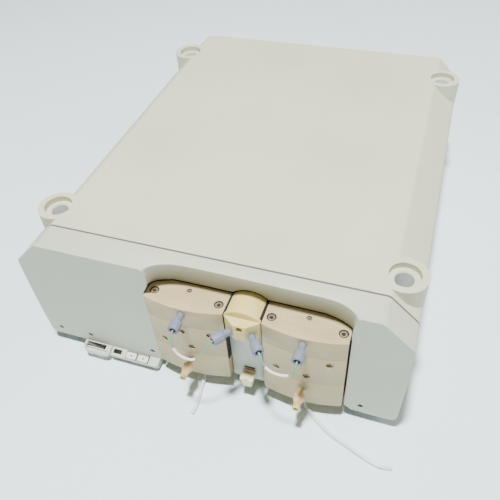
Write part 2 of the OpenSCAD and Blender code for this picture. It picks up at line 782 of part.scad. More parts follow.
// Belt run drawn as the outline round both pulleys less the same outline drawn in
module belt_outline(grow) {
    hull() {
        circle(d = cam_pulley_d + grow);
        translate([motor_dy, 0]) circle(d = motor_pulley_d + grow);
    }
}

module drive_belts() place() color(dark) {
    for (s = [-1, 1]) translate([head_x(s) + s * (pulley_x + 4.5) - 3, cam_y, bore_z])
        rotate([90, 0, 90]) linear_extrude(6) difference() {
            belt_outline(3);
            belt_outline(0.7);
        }
}

// Coil spring as stacked rings, drawn at its shortest working length
module return_springs() place() color(steel) {
    for (s = [-1, 1], x = [-1, 1], k = [0 : 5])
        forward([bore_x(s, x), plate_y + plate_t + 1 + 2.5 * k, bore_z])
            rotate_extrude() translate([8.8, 0]) circle(d = 1.6, $fn = 16);
}

// Carrier that slides in the plate and holds the cam roller at its back end
module carrier(side, x) color(steel) {
    forward([bore_x(side, x), 0, bore_z]) {
        difference() {
            union() {
                translate([0, 0, -roller_y + 3])
                    cylinder(d = carrier_d, h = roller_y - 3 - plate_y - carrier_front);
                translate([0, 0, -roller_y + 5.4]) cylinder(d = 20, h = 2.5);
                for (e = [-1, 1]) translate([e * 5.2, 0, -roller_y + 3]) cube([3, 9, 14], center = true);
            }
            translate([0, 0, -plate_y - 12]) cylinder(d = rod_d + 0.02, h = 20);
            translate([0, 0, -roller_y]) cube([7, 30, 13], center = true);
        }
        rotate([0, 90, 0]) translate([roller_y, 0, 0]) {
            cylinder(r = roller_r, h = 6, center = true);
            cylinder(d = 3, h = 13.4, center = true);
        }
    }
}

module piston(side, x) color([0.82, 0.86, 0.92])
    forward([bore_x(side, x), plate_y + 11.8, bore_z])
        cylinder(d = rod_d, h = plate_y + 11.8 - 13);

module carrier_a1() place() carrier(-1, -1);

module carrier_a2() place() carrier(-1, 1);

module carrier_b1() place() carrier(1, -1);

module carrier_b2() place() carrier(1, 1);

module piston_a1() place() piston(-1, -1);

module piston_a2() place() piston(-1, 1);

module piston_b1() place() piston(1, -1);

module piston_b2() place() piston(1, 1);

// ---------------------------------------------------------------- electronics and rear

module control_board() place() color([0.13, 0.42, 0.25]) {
    block([-148, 240, 22], [26, 332, 23.6]);
    for (x = [-140, 18], y = [248, 324]) translate([x, y, pan_top]) cylinder(d = 6, h = 8);
    for (x = [-130 : 34 : 6]) block([x, 262, 23.6], [x + 20, 282, 27]);
    for (x = [-120 : 24 : 0]) translate([x, 310, 23.6]) cylinder(d = 10, h = 14);
}

module power_supply() place() color(steel) {
    difference() {
        block([38, 232, pan_top], [130, 372, 84]);
        block([39.5, 233.5, pan_top + 1.5], [128.5, 370.5, 82.5]);
        for (x = [46 : 9 : 118]) block([x, 246, 80], [x + 5, 300, 86]);
    }
}

module fan_frame() place() color(dark) {
    translate([fan_x, panel_y - 0.1, fan_z]) rotate([90, 0, 0]) difference() {
        translate([0, 0, 7.5]) cube([fan_w, fan_w, 15], center = true);
        difference() {
            translate([0, 0, -1]) cylinder(d = 56, h = 17);
            translate([0, 0, -2]) cylinder(d = 20, h = 4.5);
            for (a = [0, 90]) rotate(a) translate([0, 0, 1]) cube([60, 3, 2], center = true);
        }
        for (x = [-25, 25], y = [-25, 25]) translate([x, y, -1]) cylinder(d = 4.2, h = 17);
    }
    forward([fan_x, panel_y - 2, fan_z]) cylinder(d = fan_pin_d, h = 9);
}

module fan_rotor() place() color(dark) {
    translate([fan_x, panel_y - 3.2, fan_z]) rotate([90, 0, 0]) {
        difference() {
            cylinder(d = 24, h = 11);
            translate([0, 0, -1]) cylinder(d = fan_pin_d + 0.1, h = 9.4);
        }
        for (a = [0 : 360 / 7 : 359]) rotate(a) translate([11, 0, 5.5]) rotate([32, 0, 0])
            translate([7.6, 0, 0]) cube([15.6, 1.2, 10.5], center = true);
    }
}

module power_inlet() place() color(dark) {
    difference() {
        union() {
            block([inlet_x - 25.5, panel_y + 2.1, inlet_z - 16], [inlet_x + 25.5, rear_reach, inlet_z + 16]);
            block([inlet_x - 23.6, panel_y - 18, inlet_z - 13.8],
                [inlet_x + 23.6, panel_y + 2.2, inlet_z + 13.8]);
        }
        block([inlet_x - 19.6, panel_y - 13, inlet_z - 8.4], [inlet_x + 5.6, rear_reach + 1, inlet_z + 8.4]);
        block([inlet_x + 9, panel_y - 13, inlet_z - 10.3], [inlet_x + 19.2, rear_reach + 1, inlet_z + 10.3]);
    }
    for (p = [[-7, -3], [-14, 2.4], [0, 2.4]])
        block([inlet_x + p.x - 1, panel_y - 13.5, inlet_z + p.y - 2.4],
            [inlet_x + p.x + 1, panel_y, inlet_z + p.y + 2]);
}

module fuse_drawer() place() color([0.2, 0.2, 0.2]) {
    difference() {
        block([inlet_x + 9.4, panel_y - 12.4, inlet_z - 9.9], [inlet_x + 18.8, rear_reach, inlet_z + 9.9]);
        block([inlet_x + 12, rear_reach - 1.2, inlet_z - 9], [inlet_x + 16.2, rear_reach + 1, inlet_z - 6]);
    }
}

module rear_connectors() place() color(steel) {
    for (x = link_x) forward([x, rear_reach - 1, link_z]) difference() {
        union() {
            cylinder(d = 12, h = 16);
            translate([0, 0, 2.7]) cylinder(d = 16, h = 1.2);
        }
        translate([0, 0, -1]) cylinder(d = 8, h = 7);
    }
    difference() {
        block([-32, panel_y - 6, 44], [12, rear_reach - 2, 56]);
        block([-29, panel_y, 46.4], [9, rear_reach, 53.6]);
    }
    difference() {
        block([-40, panel_y + 2.1, 42], [20, panel_y + 3.1, 58]);
        block([-31.9, panel_y, 44.1], [11.9, rear_reach, 55.9]);
    }
}

top_cover();
front_bezel();
base_pan();
rear_panel();
rubber_feet();
housing_screws();
centre_web();
control_strip();
status_window();
splash_hood();
centre_block();
transducer();
outlet_block_a();
outlet_block_b();
chamber_block_a();
chamber_block_b();
inlet_block_a();
inlet_block_b();
cap_screws();
bleed_screws();
chamber_screws();
check_valves();
piston_seals();
outlet_fittings();
inlet_fittings();
rinse_barbs();
loop_tube_a();
loop_tube_b();
loop_sleeves();
rinse_tube_a();
rinse_tube_b();
head_plate();
cam_frames();
shaft_bearings();
stepper_motors();
drive_belts();
return_springs();
control_board();
power_supply();
fan_frame();
power_inlet();
rear_connectors();
fan_rotor();
fuse_drawer();
power_rocker();
left_key();
right_key();
purge_lever();
camshaft_a();
camshaft_b();
motor_pulley_a();
motor_pulley_b();
carrier_a1();
carrier_a2();
carrier_b1();
carrier_b2();
piston_a1();
piston_a2();
piston_b1();
piston_b2();
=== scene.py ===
import bpy
import bmesh
import math
from mathutils import Matrix, Vector


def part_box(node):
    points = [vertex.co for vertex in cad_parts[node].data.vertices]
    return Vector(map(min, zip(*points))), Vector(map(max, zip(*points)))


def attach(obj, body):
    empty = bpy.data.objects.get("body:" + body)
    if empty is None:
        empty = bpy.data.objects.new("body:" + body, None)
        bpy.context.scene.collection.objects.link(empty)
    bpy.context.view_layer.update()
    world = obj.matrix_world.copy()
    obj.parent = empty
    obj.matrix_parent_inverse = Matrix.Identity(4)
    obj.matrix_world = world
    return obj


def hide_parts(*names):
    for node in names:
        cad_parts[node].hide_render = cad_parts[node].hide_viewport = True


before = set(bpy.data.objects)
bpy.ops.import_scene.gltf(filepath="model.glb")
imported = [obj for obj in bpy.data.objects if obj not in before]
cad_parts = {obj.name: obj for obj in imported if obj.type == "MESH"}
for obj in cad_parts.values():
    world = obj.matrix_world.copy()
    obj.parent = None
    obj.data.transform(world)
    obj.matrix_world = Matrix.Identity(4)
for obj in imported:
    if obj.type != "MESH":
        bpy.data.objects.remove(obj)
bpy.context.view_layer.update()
mm = 0.001
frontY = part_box("front_bezel")[0].y   # front face of the housing
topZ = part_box("front_bezel")[1].z / mm
print("frame loaded")


def at(x, y, z):
    # millimetres across, back from the front face and up from the bench
    return Vector((x * mm, frontY + y * mm, z * mm))


# ---- camera, light and bench

cameraSet = {
    "place": (0.14626, -0.43548, 0.45381),
    "right": (0.94655, 0.31820, -0.05285),
    "up": (-0.19178, 0.68691, 0.70099),
    "lens": 39.91,
    "sensor": 36.0,
}


def makeCamera(setup):
    data = bpy.data.cameras.new("benchCamera")
    data.lens = setup["lens"]
    data.sensor_width = setup["sensor"]
    data.clip_start = 0.01
    data.clip_end = 50
    camera = bpy.data.objects.new("benchCamera", data)
    bpy.context.scene.collection.objects.link(camera)
    right, up = Vector(setup["right"]), Vector(setup["up"])
    turn = Matrix((right, up, right.cross(up))).transposed()
    camera.matrix_world = Matrix.Translation(setup["place"]) @ turn.to_4x4()
    bpy.context.scene.camera = camera


makeCamera(cameraSet)

# ---- small tools for meshes and curves


def settle(piece):
    # keeps what the modifiers made
    bpy.context.view_layer.update()
    shown = piece.evaluated_get(bpy.context.evaluated_depsgraph_get())
    mesh = bpy.data.meshes.new_from_object(shown)
    piece.modifiers.clear()
    piece.data = mesh


def addObject(name, bm):
    mesh = bpy.data.meshes.new(name)
    bm.to_mesh(mesh)
    bm.free()
    piece = bpy.data.objects.new(name, mesh)
    bpy.context.scene.collection.objects.link(piece)
    return piece


def combine(piece, tool, operation="DIFFERENCE"):
    step = piece.modifiers.new("cut", "BOOLEAN")
    step.operation = operation
    step.solver = "EXACT"
    step.object = tool
    settle(piece)
    bpy.data.objects.remove(tool)


def softEdges(piece, width, segments=3, angle=30):
    # rounds every edge sharper than the angle and keeps flat faces flat
    for polygon in piece.data.polygons:
        polygon.use_smooth = True
    step = piece.modifiers.new("softEdges", "BEVEL")
    step.width = width * mm
    step.segments = segments
    step.limit_method = "ANGLE"
    step.angle_limit = math.radians(angle)
    step.harden_normals = True
    step.miter_outer = "MITER_ARC"
    settle(piece)


def smooth(piece, angle=40):
    for polygon in piece.data.polygons:
        polygon.use_smooth = True
    piece.data.set_sharp_from_angle(angle=math.radians(angle))


def wear(piece, finish, replaced=(), body="root"):
    # gives a finished piece its material, its body and the CAD nodes it stands for
    piece.data.materials.clear()
    piece.data.materials.append(finish)
    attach(piece, body)
    if replaced:
        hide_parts(*replaced)
    return piece


def addBox(bm, low, high):
    middle, size = (low + high) / 2, high - low
    bmesh.ops.create_cube(bm, size=1, matrix=Matrix.Translation(middle) @ Matrix.Diagonal((*size, 1)))


def solidBox(low, high):
    bm = bmesh.new()
    addBox(bm, low, high)
    return addObject("cutter", bm)


def solidRod(start, end, radius, segments=64, endRadius=None):
    bm = bmesh.new()
    along = end - start
    turn = along.to_track_quat("Z", "Y").to_matrix().to_4x4()
    bmesh.ops.create_cone(
        bm, cap_ends=True, segments=segments, radius1=radius * mm,
        radius2=(radius if endRadius is None else endRadius) * mm, depth=along.length,
        matrix=Matrix.Translation((start + end) / 2) @ turn)
    return addObject("cutter", bm)


def softCopy(node, name, width, segments=2, angle=30, trims=()):
    # merged copy of a CAD node with its sharp edges rounded, cut flat at x where a slit is wider
    bm = bmesh.new()
    bm.from_mesh(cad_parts[node].data)
    bmesh.ops.remove_doubles(bm, verts=bm.verts, dist=2e-6)
    bmesh.ops.dissolve_limit(bm, angle_limit=math.radians(0.3), verts=bm.verts, edges=bm.edges)
    for x, side in trims:
        cut = bmesh.ops.bisect_plane(
            bm, geom=bm.verts[:] + bm.edges[:] + bm.faces[:], plane_co=(x * mm, 0, 0),
            plane_no=(side, 0, 0), clear_outer=True)
        bmesh.ops.edgeloop_fill(bm, edges=[g for g in cut["geom_cut"] if isinstance(g, bmesh.types.BMEdge)])
    piece = addObject(name, bm)
    softEdges(piece, width, segments, angle)
    return piece


def spinProfile(bm, profile, steps=48):
    # closes a half profile of (radius, height) pairs round the z axis
    verts = [bm.verts.new((r * mm, 0, z * mm)) for r, z in profile]
    edges = [bm.edges.new(pair) for pair in zip(verts, verts[1:])]
    bmesh.ops.spin(
        bm, geom=verts + edges, cent=(0, 0, 0), axis=(0, 0, 1), angle=2 * math.pi, steps=steps,
        use_merge=True)
    bmesh.ops.remove_doubles(bm, verts=bm.verts, dist=1e-6)
    bmesh.ops.recalc_face_normals(bm, faces=bm.faces)


def absorb(bm, part):
    # moves a finished bmesh into another one
    mesh = bpy.data.meshes.new("part")
    part.to_mesh(mesh)
    part.free()
    bm.from_mesh(mesh)


def pull(bm, along):
    # pulls flat faces along a vector into a solid
    pulled = bmesh.ops.extrude_face_region(bm, geom=bm.faces[:])
    moved = [g for g in pulled["geom"] if isinstance(g, bmesh.types.BMVert)]
    bmesh.ops.translate(bm, verts=moved, vec=along)
    bmesh.ops.recalc_face_normals(bm, faces=bm.faces)


def prism(corners, along):
    bm = bmesh.new()
    bm.faces.new([bm.verts.new(corner) for corner in corners])
    pull(bm, along)
    return addObject("cutter", bm)


def smoothPath(points, steps):
    # smooth curve through given points
    path = []
    last = len(points) - 1
    for i in range(last):
        a, b, c, d = (Vector(points[min(max(i + k, 0), last)]) for k in (-1, 0, 1, 2))
        for k in range(steps):
            t = k / steps
            path.append(0.5 * (2 * b + (c - a) * t + (2 * a - 5 * b + 4 * c - d) * t ** 2
                               + (3 * b - 3 * c + d - a) * t ** 3))
    return path + [Vector(points[last])]


# ---- finishes


def paint(red, green, blue):
    # display colour to linear
    return tuple(((c / 255 + 0.055) / 1.055) ** 2.4 for c in (red, green, blue)) + (1,)


class Finish:
    # one procedural material: starts with object coordinates and a principled shader

    def __init__(self, name):
        self.material = bpy.data.materials.new(name)
        self.material.use_nodes = True
        self.nodes = self.material.node_tree.nodes
        self.links = self.material.node_tree.links
        self.shader = self.nodes["Principled BSDF"]
        self.coords = self.nodes.new("ShaderNodeTexCoord").outputs["Object"]
        self.lastBump = None

    def add(self, kind, inputs=(), **values):
        node = self.nodes.new(kind)
        for key, value in values.items():
            setattr(node, key, value)
        for socket, value in dict(inputs).items():
            if isinstance(value, bpy.types.NodeSocket):
                self.links.new(value, node.inputs[socket])
            else:
                node.inputs[socket].default_value = value
        return node

    def stretched(self, x, y, z):
        return self.add("ShaderNodeMapping", {"Vector": self.coords, "Scale": (x, y, z)}).outputs[0]

    def noise(self, scale, detail=2.0, rough=0.5, vector=None):
        return self.add("ShaderNodeTexNoise", {
            "Vector": vector or self.coords, "Scale": scale, "Detail": detail,
            "Roughness": rough}).outputs["Fac"]

    def span(self, factor, low, high, first, last):
        return self.add("ShaderNodeMapRange", {
            "Value": factor, "From Min": low, "From Max": high, "To Min": first,
            "To Max": last}).outputs[0]

    def blend(self, factor, first, second, kind="MIX"):
        node = self.add("ShaderNodeMix", data_type="RGBA", blend_type=kind)
        for socket, value in ((node.inputs[0], factor), (node.inputs[6], first), (node.inputs[7], second)):
            if isinstance(value, bpy.types.NodeSocket):
                self.links.new(value, socket)
            else:
                socket.default_value = value
        return node.outputs[2]

    def bump(self, height, depth, strength=1.0):
        # depth in millimetres
        inputs = {"Height": height, "Distance": depth * mm, "Strength": strength}
        if self.lastBump:
            inputs["Normal"] = self.lastBump
        self.lastBump = self.add("ShaderNodeBump", inputs).outputs[0]
        self.links.new(self.lastBump, self.shader.inputs["Normal"])

    def drive(self, socket, value):
        if isinstance(value, bpy.types.NodeSocket):
            self.links.new(value, self.shader.inputs[socket])
        else:
            self.shader.inputs[socket].default_value = value
        return self


def mouldedPlastic(name, colour, shade, rough, grain=0.02, sheen=0.45):
    # spark-eroded moulding: slow yellowing, fine grain and a few rubbed patches
    f = Finish(name)
    slow = f.noise(9, 3)
    cloud = f.noise(55, 4, 0.6)
    colourMix = f.blend(f.span(slow, 0.35, 0.65, 0, 1), colour, shade)
    mottled = f.blend(f.span(cloud, 0.3, 0.7, 0, 0.35), colourMix, shade)
    specks = f.span(f.noise(900, 1), 0.76, 0.8, 0, 0.25)
    dark = tuple(c * 0.55 for c in colour[:3]) + (1,)
    f.drive("Base Color", f.blend(specks, mottled, dark))
    f.drive("Roughness", f.span(cloud, 0.3, 0.7, rough - 0.05, rough + 0.07))
    f.drive("Specular IOR Level", sheen)
    f.bump(f.noise(2600, 2), grain)
    f.bump(f.noise(14, 2), 0.05)
    return f.material


def machinedPolymer(name, colour, shade, along=(1, 1, 30)):
    # turned or milled polymer: faint tool lines over a slow blotch
    f = Finish(name)
    blotch = f.noise(38, 3, 0.55)
    lines = f.noise(160, 3, 0.6, f.stretched(*along))
    base = f.blend(f.span(blotch, 0.35, 0.68, 0, 1), colour, shade)
    dark = tuple(c * 0.8 for c in colour[:3]) + (1,)
    f.drive("Base Color", f.blend(f.span(lines, 0.45, 0.75, 0, 0.4), base, dark))
    f.drive("Roughness", f.span(lines, 0.3, 0.7, 0.4, 0.55))
    f.drive("Specular IOR Level", 0.45)
    f.bump(lines, 0.012)
    f.bump(f.noise(1800, 2), 0.008)
    return f.material


def plainPolymer(name, colour, shade, rough=0.42, grain=0.01, scale=70, coat=0.0):
    f = Finish(name)
    cloud = f.noise(scale, 3, 0.6)
    f.drive("Base Color", f.blend(f.span(cloud, 0.35, 0.65, 0, 1), colour, shade))
    f.drive("Roughness", f.span(cloud, 0.3, 0.7, rough - 0.05, rough + 0.06))
    f.drive("Specular IOR Level", 0.5)
    f.drive("Coat Weight", coat)
    f.bump(f.noise(1500, 2), grain)
    return f.material


def turnedMetal(name, colour, shade, rough=0.3, along=(1, 1, 14)):
    f = Finish(name)
    lines = f.noise(420, 3, 0.6, f.stretched(*along))
    tarnish = f.noise(90, 3)
    f.drive("Metallic", 1.0)
    f.drive("Base Color", f.blend(f.span(tarnish, 0.35, 0.7, 0, 1), colour, shade))
    f.drive("Roughness", f.span(lines, 0.3, 0.7, rough - 0.07, rough + 0.1))
    f.bump(lines, 0.006)
    return f.material


def blackRubber(name, colour, dusty):
    f = Finish(name)
    dust = f.noise(60, 4, 0.7)
    f.drive("Base Color", f.blend(f.span(dust, 0.45, 0.75, 0, 1), colour, dusty))
    f.drive("Roughness", f.span(dust, 0.3, 0.7, 0.6, 0.8))
    f.drive("Specular IOR Level", 0.3)
    f.bump(f.noise(1300, 2), 0.03)
    return f.material


def clearPlastic(name, colour, rough=0.06, haze=0.02):
    f = Finish(name)
    smear = f.noise(130, 3)
    f.drive("Base Color", colour)
    f.drive("Transmission Weight", 1.0)
    f.drive("IOR", 1.47)
    f.drive("Roughness", f.span(smear, 0.4, 0.7, rough, rough + haze))
    f.bump(f.noise(240, 2), 0.01)
    return f.material


def softTubing(name, colour, clear, rough=0.18):
    # translucent tube with faint lengthwise cloudiness
    f = Finish(name)
    cloud = f.noise(300, 3)
    f.drive("Base Color", f.blend(f.span(cloud, 0.3, 0.7, 0, 0.5), colour, tuple(
        c * 0.85 for c in colour[:3]) + (1,)))
    f.drive("Transmission Weight", clear)
    f.drive("IOR", 1.4)
    f.drive("Roughness", rough)
    f.bump(cloud, 0.02)
    return f.material


finish = {
    "housing": mouldedPlastic("ivoryMoulding", paint(200, 203, 180), paint(194, 195, 170), 0.5),
    # front moulding: the cover's ivory made darker and greyer, painted shade of the front faces
    "front": mouldedPlastic("ivoryFrontPaintedShade", paint(190, 193, 178), paint(184, 186, 169), 0.5),
    "rearPanel": mouldedPlastic("greyPanel", paint(186, 189, 185), paint(177, 180, 176), 0.5),
    # dark grey of the seam tongue: painted shade in the groove between cover and bezel
    "seam": plainPolymer("seamPaintedShade", paint(92, 94, 88), paint(84, 86, 80), 0.6),
    "web": mouldedPlastic("webMoulding", paint(198, 200, 194), paint(189, 190, 182), 0.45),
    "liner": plainPolymer("linerTube", paint(236, 242, 240), paint(228, 234, 232), 0.45, 0.01),
    "head": machinedPolymer("headPolymer", paint(184, 166, 127), paint(175, 156, 117)),
    "cream": machinedPolymer("creamPolymer", paint(214, 194, 126), paint(205, 184, 116), (1, 12, 1)),
    "lever": plainPolymer("creamLever", paint(236, 224, 176), paint(227, 214, 164), 0.4),
    "key": plainPolymer("keyCap", paint(214, 214, 203), paint(207, 205, 192), 0.42),
    "greyFitting": plainPolymer("greyFitting", paint(120, 127, 149), paint(110, 117, 139), 0.48, 0.02, 120),
    "tanFitting": machinedPolymer("tanPolymer", paint(224, 192, 138), paint(214, 181, 127), (1, 16, 1)),
    "screw": turnedMetal("screwSteel", paint(168, 150, 126), paint(150, 132, 110), 0.5),
    # darker steel for the housing screws: painted shade of the screw holes
    "holeShadeScrew": turnedMetal("screwSteelHoleShade", paint(128, 122, 112), paint(100, 95, 86), 0.5),
    "steel": turnedMetal("shaftSteel", paint(196, 196, 198), paint(178, 178, 180), 0.28),
    "plate": turnedMetal("milledAluminium", paint(205, 206, 208), paint(190, 191, 193), 0.38, (1, 1, 8)),
    "sheet": turnedMetal("zincSheet", paint(184, 187, 190), paint(166, 170, 172), 0.42, (1, 6, 1)),
    "nickel": turnedMetal("nickelShell", paint(205, 204, 198), paint(190, 188, 180), 0.22, (1, 1, 1)),
    "rubber": blackRubber("blackRubber", paint(24, 24, 23), paint(48, 47, 44)),
    "black": plainPolymer("blackPlastic", paint(26, 26, 27), paint(36, 36, 37), 0.4, 0.02),
    "window": plainPolymer("smokedWindow", paint(18, 18, 20), paint(24, 24, 26), 0.12, 0.001, 70, 0.6),
    "board": plainPolymer("boardGreen", paint(24, 92, 52), paint(20, 78, 44), 0.3, 0.01, 200, 0.3),
    "seal": plainPolymer("sealPolymer", paint(224, 224, 220), paint(214, 214, 210), 0.5),
    "sapphire": clearPlastic("sapphireRod", (0.9, 0.94, 1, 1), 0.02),
    "hood": softTubing("milkyHood", paint(234, 236, 224), 0.4, 0.32),
    "greenTube": softTubing("greenTube", paint(126, 186, 152), 0.3, 0.22),
    "sleeve": plainPolymer("whiteSleeve", paint(240, 240, 236), paint(230, 230, 226), 0.5, 0.02, 160),
    "clearTube": softTubing("clearTube", paint(246, 248, 246), 0.2, 0.25),
}
print("finishes made")

# ---- tubing

loopSet = {
    "diameter": 0.0016,
    "sleeveDiameter": 0.0021,
    "steps": 8,
    "routes": {
        "A": [(-0.0126, -0.2110, 0.1020), (-0.0126, -0.2150, 0.1010), (-0.0125, -0.2185, 0.0960),
              (-0.0110, -0.2205, 0.0890), (-0.0070, -0.2215, 0.0835), (-0.0010, -0.2215, 0.0800),
              (0.0050, -0.2200, 0.0790), (0.0100, -0.2170, 0.0820), (0.0145, -0.2135, 0.0880),
              (0.0180, -0.2102, 0.0943), (0.0203, -0.2073, 0.0950)],
        "B": [(0.0557, -0.2073, 0.0950), (0.0580, -0.2102, 0.0948), (0.0608, -0.2135, 0.0922),
              (0.0645, -0.2160, 0.0884), (0.0700, -0.2175, 0.0862), (0.0765, -0.2180, 0.0858),
              (0.0825, -0.2180, 0.0876), (0.0868, -0.2180, 0.0920), (0.0884, -0.2175, 0.0972),
              (0.0886, -0.2150, 0.1012), (0.0886, -0.2110, 0.1020)],
    },
    "sleeveSpans": {"A": (3.0, 6.25), "B": (3.0, 6.25)},
}
rinseSet = {
    "diameter": 0.0032,
    "wall": 0.0008,
    "steps": 6,
    "routes": {
        "A": [(-0.0060, -0.1835, 0.0150), (-0.0060, -0.1845, 0.0105), (-0.0060, -0.1885, 0.0055),
              (-0.0055, -0.1955, 0.0026), (-0.0050, -0.2025, 0.0018), (-0.0035, -0.2115, 0.0017),
              (-0.0025, -0.2195, 0.0017), (-0.0030, -0.2285, 0.0017)],
        "B": [(0.0870, -0.1835, 0.0150), (0.0875, -0.1845, 0.0105), (0.0895, -0.1885, 0.0055),
              (0.0930, -0.1930, 0.0026), (0.0985, -0.1980, 0.0018), (0.1060, -0.2040, 0.0017),
              (0.1170, -0.2110, 0.0017), (0.1320, -0.2170, 0.0017), (0.1460, -0.2225, 0.0017),
              (0.1590, -0.2265, 0.0017), (0.1665, -0.2270, 0.0017), (0.1730, -0.2255, 0.0017)],
    },
}


def tubeCurve(name, path, diameter, caps=True):
    data = bpy.data.curves.new(name, "CURVE")
    data.dimensions = "3D"
    data.bevel_depth = diameter / 2
    data.bevel_resolution = 5
    data.use_fill_caps = caps
    spline = data.splines.new("POLY")
    spline.points.add(len(path) - 1)
    for point, place in zip(spline.points, path):
        point.co = (*place, 1)
    piece = bpy.data.objects.new(name, data)
    bpy.context.scene.collection.objects.link(piece)
    return piece


def makeLoops(setup):
    for letter, points in setup["routes"].items():
        path = smoothPath(points, setup["steps"])
        first, last = (round(s * setup["steps"]) for s in setup["sleeveSpans"][letter])
        sleeve = tubeCurve("loopSleeve" + letter, path[first:last + 1], setup["sleeveDiameter"])
        wear(sleeve, finish["sleeve"], ["loop_sleeves"])
        tube = tubeCurve("loopTube" + letter, path, setup["diameter"])
        wear(tube, finish["greenTube"], ["loop_tube_" + letter.lower()])


def makeRinseTubes(setup):
    for letter, points in setup["routes"].items():
        path = smoothPath(points, setup["steps"])
        tube = tubeCurve("rinseTube" + letter, path, setup["diameter"], False)
        bm = bmesh.new()
        shown = tube.evaluated_get(bpy.context.evaluated_depsgraph_get())
        mesh = bpy.data.meshes.new_from_object(shown)
        bm.from_mesh(mesh)
        bpy.data.objects.remove(tube)
        bmesh.ops.remove_doubles(bm, verts=bm.verts, dist=1e-6)
        bmesh.ops.recalc_face_normals(bm, faces=bm.faces)
        piece = addObject("rinseTube" + letter, bm)
        step = piece.modifiers.new("wall", "SOLIDIFY")
        step.thickness = setup["wall"]
        step.offset = -1
        settle(piece)
        smooth(piece, 50)
        wear(piece, finish["clearTube"], ["rinse_tube_" + letter.lower()])


makeLoops(loopSet)
makeRinseTubes(rinseSet)
print("tubing laid")

# ---- housing mouldings

housing = {
    "half": 170.0, "topHalf": 145.0, "bottom": 12.0, "chamfer": 24.0, "bow": 1.0, "bowZ": 66.2,
    "wall": 3.0, "bezelDepth": 25.8, "coverStart": 27.7, "depth": 404.0,
    "topRound": 2.5, "sideRound": 3.0, "bowRound": 30.0, "bottomRound": 6.0,
}
post = {
    "radius": 18.25, "socket": 12.5, "socketDepth": 5.5, "bore": 8.2, "x": 152.5,
    "ys": (51.0, 356.0), "floor": 14.0, "lip": 0.4, "liner": 0.4,
}


def housingSlice(inset, y0, y1, bottom):
    # solid slice of the housing outline with its long corners rounded
    h = housing["half"] - inset
    t = housing["topHalf"] - 0.41 * inset
    side = [(t, topZ - inset, housing["topRound"]),
            (h, topZ - housing["chamfer"] - 0.41 * inset, housing["sideRound"]),
            (h + housing["bow"], housing["bowZ"], housing["bowRound"]),
            (h - housing["bow"], bottom, 0 if inset else housing["bottomRound"])]
    corners = [(-x, z, r) for x, z, r in reversed(side)] + side
    bm = bmesh.new()
    verts = [bm.verts.new(at(x, y0, z)) for x, z, r in corners]
    bm.faces.new(verts)
    for vert, (x, z, r) in zip(verts, corners):
        if r:
            bmesh.ops.bevel(
                bm, geom=[vert], offset=r * mm, offset_type="OFFSET", segments=6, profile=0.5,
                affect="VERTICES", material=-1)
    pull(bm, (0, (y1 - y0) * mm, 0))
    return addObject("slice", bm)


def makeTopCover():
    cover = housingSlice(0, housing["coverStart"], housing["depth"], housing["bottom"])
    combine(cover, housingSlice(housing["wall"], housing["coverStart"] - 1, housing["depth"] + 1,
                                housing["bottom"] - 1))
    for side in (-1, 1):
        for y in post["ys"]:
            x = side * post["x"]
            combine(cover, solidRod(at(x, y, post["floor"]), at(x, y, topZ), post["radius"], 96), "UNION")
            combine(cover, solidRod(at(x, y, topZ - post["socketDepth"]), at(x, y, topZ + 1),
                                    post["socket"], 96))
            combine(cover, solidRod(at(x, y, post["floor"] - 1), at(x, y, topZ), post["bore"], 96))
    cover.name = "topCover"
    softEdges(cover, post["lip"], 3, 32)
    wear(cover, finish["housing"], ["top_cover"])


seam = {"outer": 0.6, "inner": 2.6, "start": 24.5, "end": 28.8}


def makeSeamTongue():
    # grey tongue at the bottom of the gap between cover and bezel, dark grey as painted shade in the groove
    start, end, bottom = seam["start"], seam["end"], housing["bottom"]
    tongue = housingSlice(seam["outer"], start, end, bottom)
    combine(tongue, housingSlice(seam["inner"], start - 1, end + 1, bottom - 1))
    tongue.name = "seamTongue"
    wear(tongue, finish["seam"])


def makePostLiners():
    # pale tubes that line the holes under the stacking sockets
    outer, inner = post["bore"] - 0.05, post["bore"] - post["liner"]
    low, high = post["floor"] + 0.2, topZ - post["socketDepth"] - 0.5
    bm = bmesh.new()
    for side in (-1, 1):
        for y in post["ys"]:
            part = bmesh.new()
            spinProfile(part, [(outer, low), (outer, high), (inner, high), (inner, low), (outer, low)], 64)
            bmesh.ops.translate(part, verts=part.verts, vec=at(side * post["x"], y, 0))
            absorb(bm, part)
    piece = addObject("postLiners", bm)
    smooth(piece, 35)
    wear(piece, finish["liner"])


scoop = {
    "upper": [(-45.5, 0), (-40.5, 5.3), (-32.5, 9.4), (-20.5, 12.2), (0, 12.9), (38, 12.6), (80, 12.0),
              (100, 11.6), (112.8, 9.9), (122.5, 4.8), (127.5, 0)],
    "lower": [(-48.3, 0), (-48.3, 9.0), (-44, 14.6), (-34.4, 18.6), (-22, 20.4), (38, 20.5),
              (90, 20.4), (103, 19.6), (114.5, 16.4), (123.2, 10.6), (124.3, 0)],
    "bottom": 109.8, "steps": 6, "levels": 10, "hollow": 3.2, "cusp": (4.2, 1.6), "lip": 2.4,
    "lipSteps": 5, "front": -3.0,
}
bay = {"left": -48.35, "right": 124.35, "top": 110.1, "arch": (38.0, 108.3, 6.6, 15.25), "archGap": 1.2}


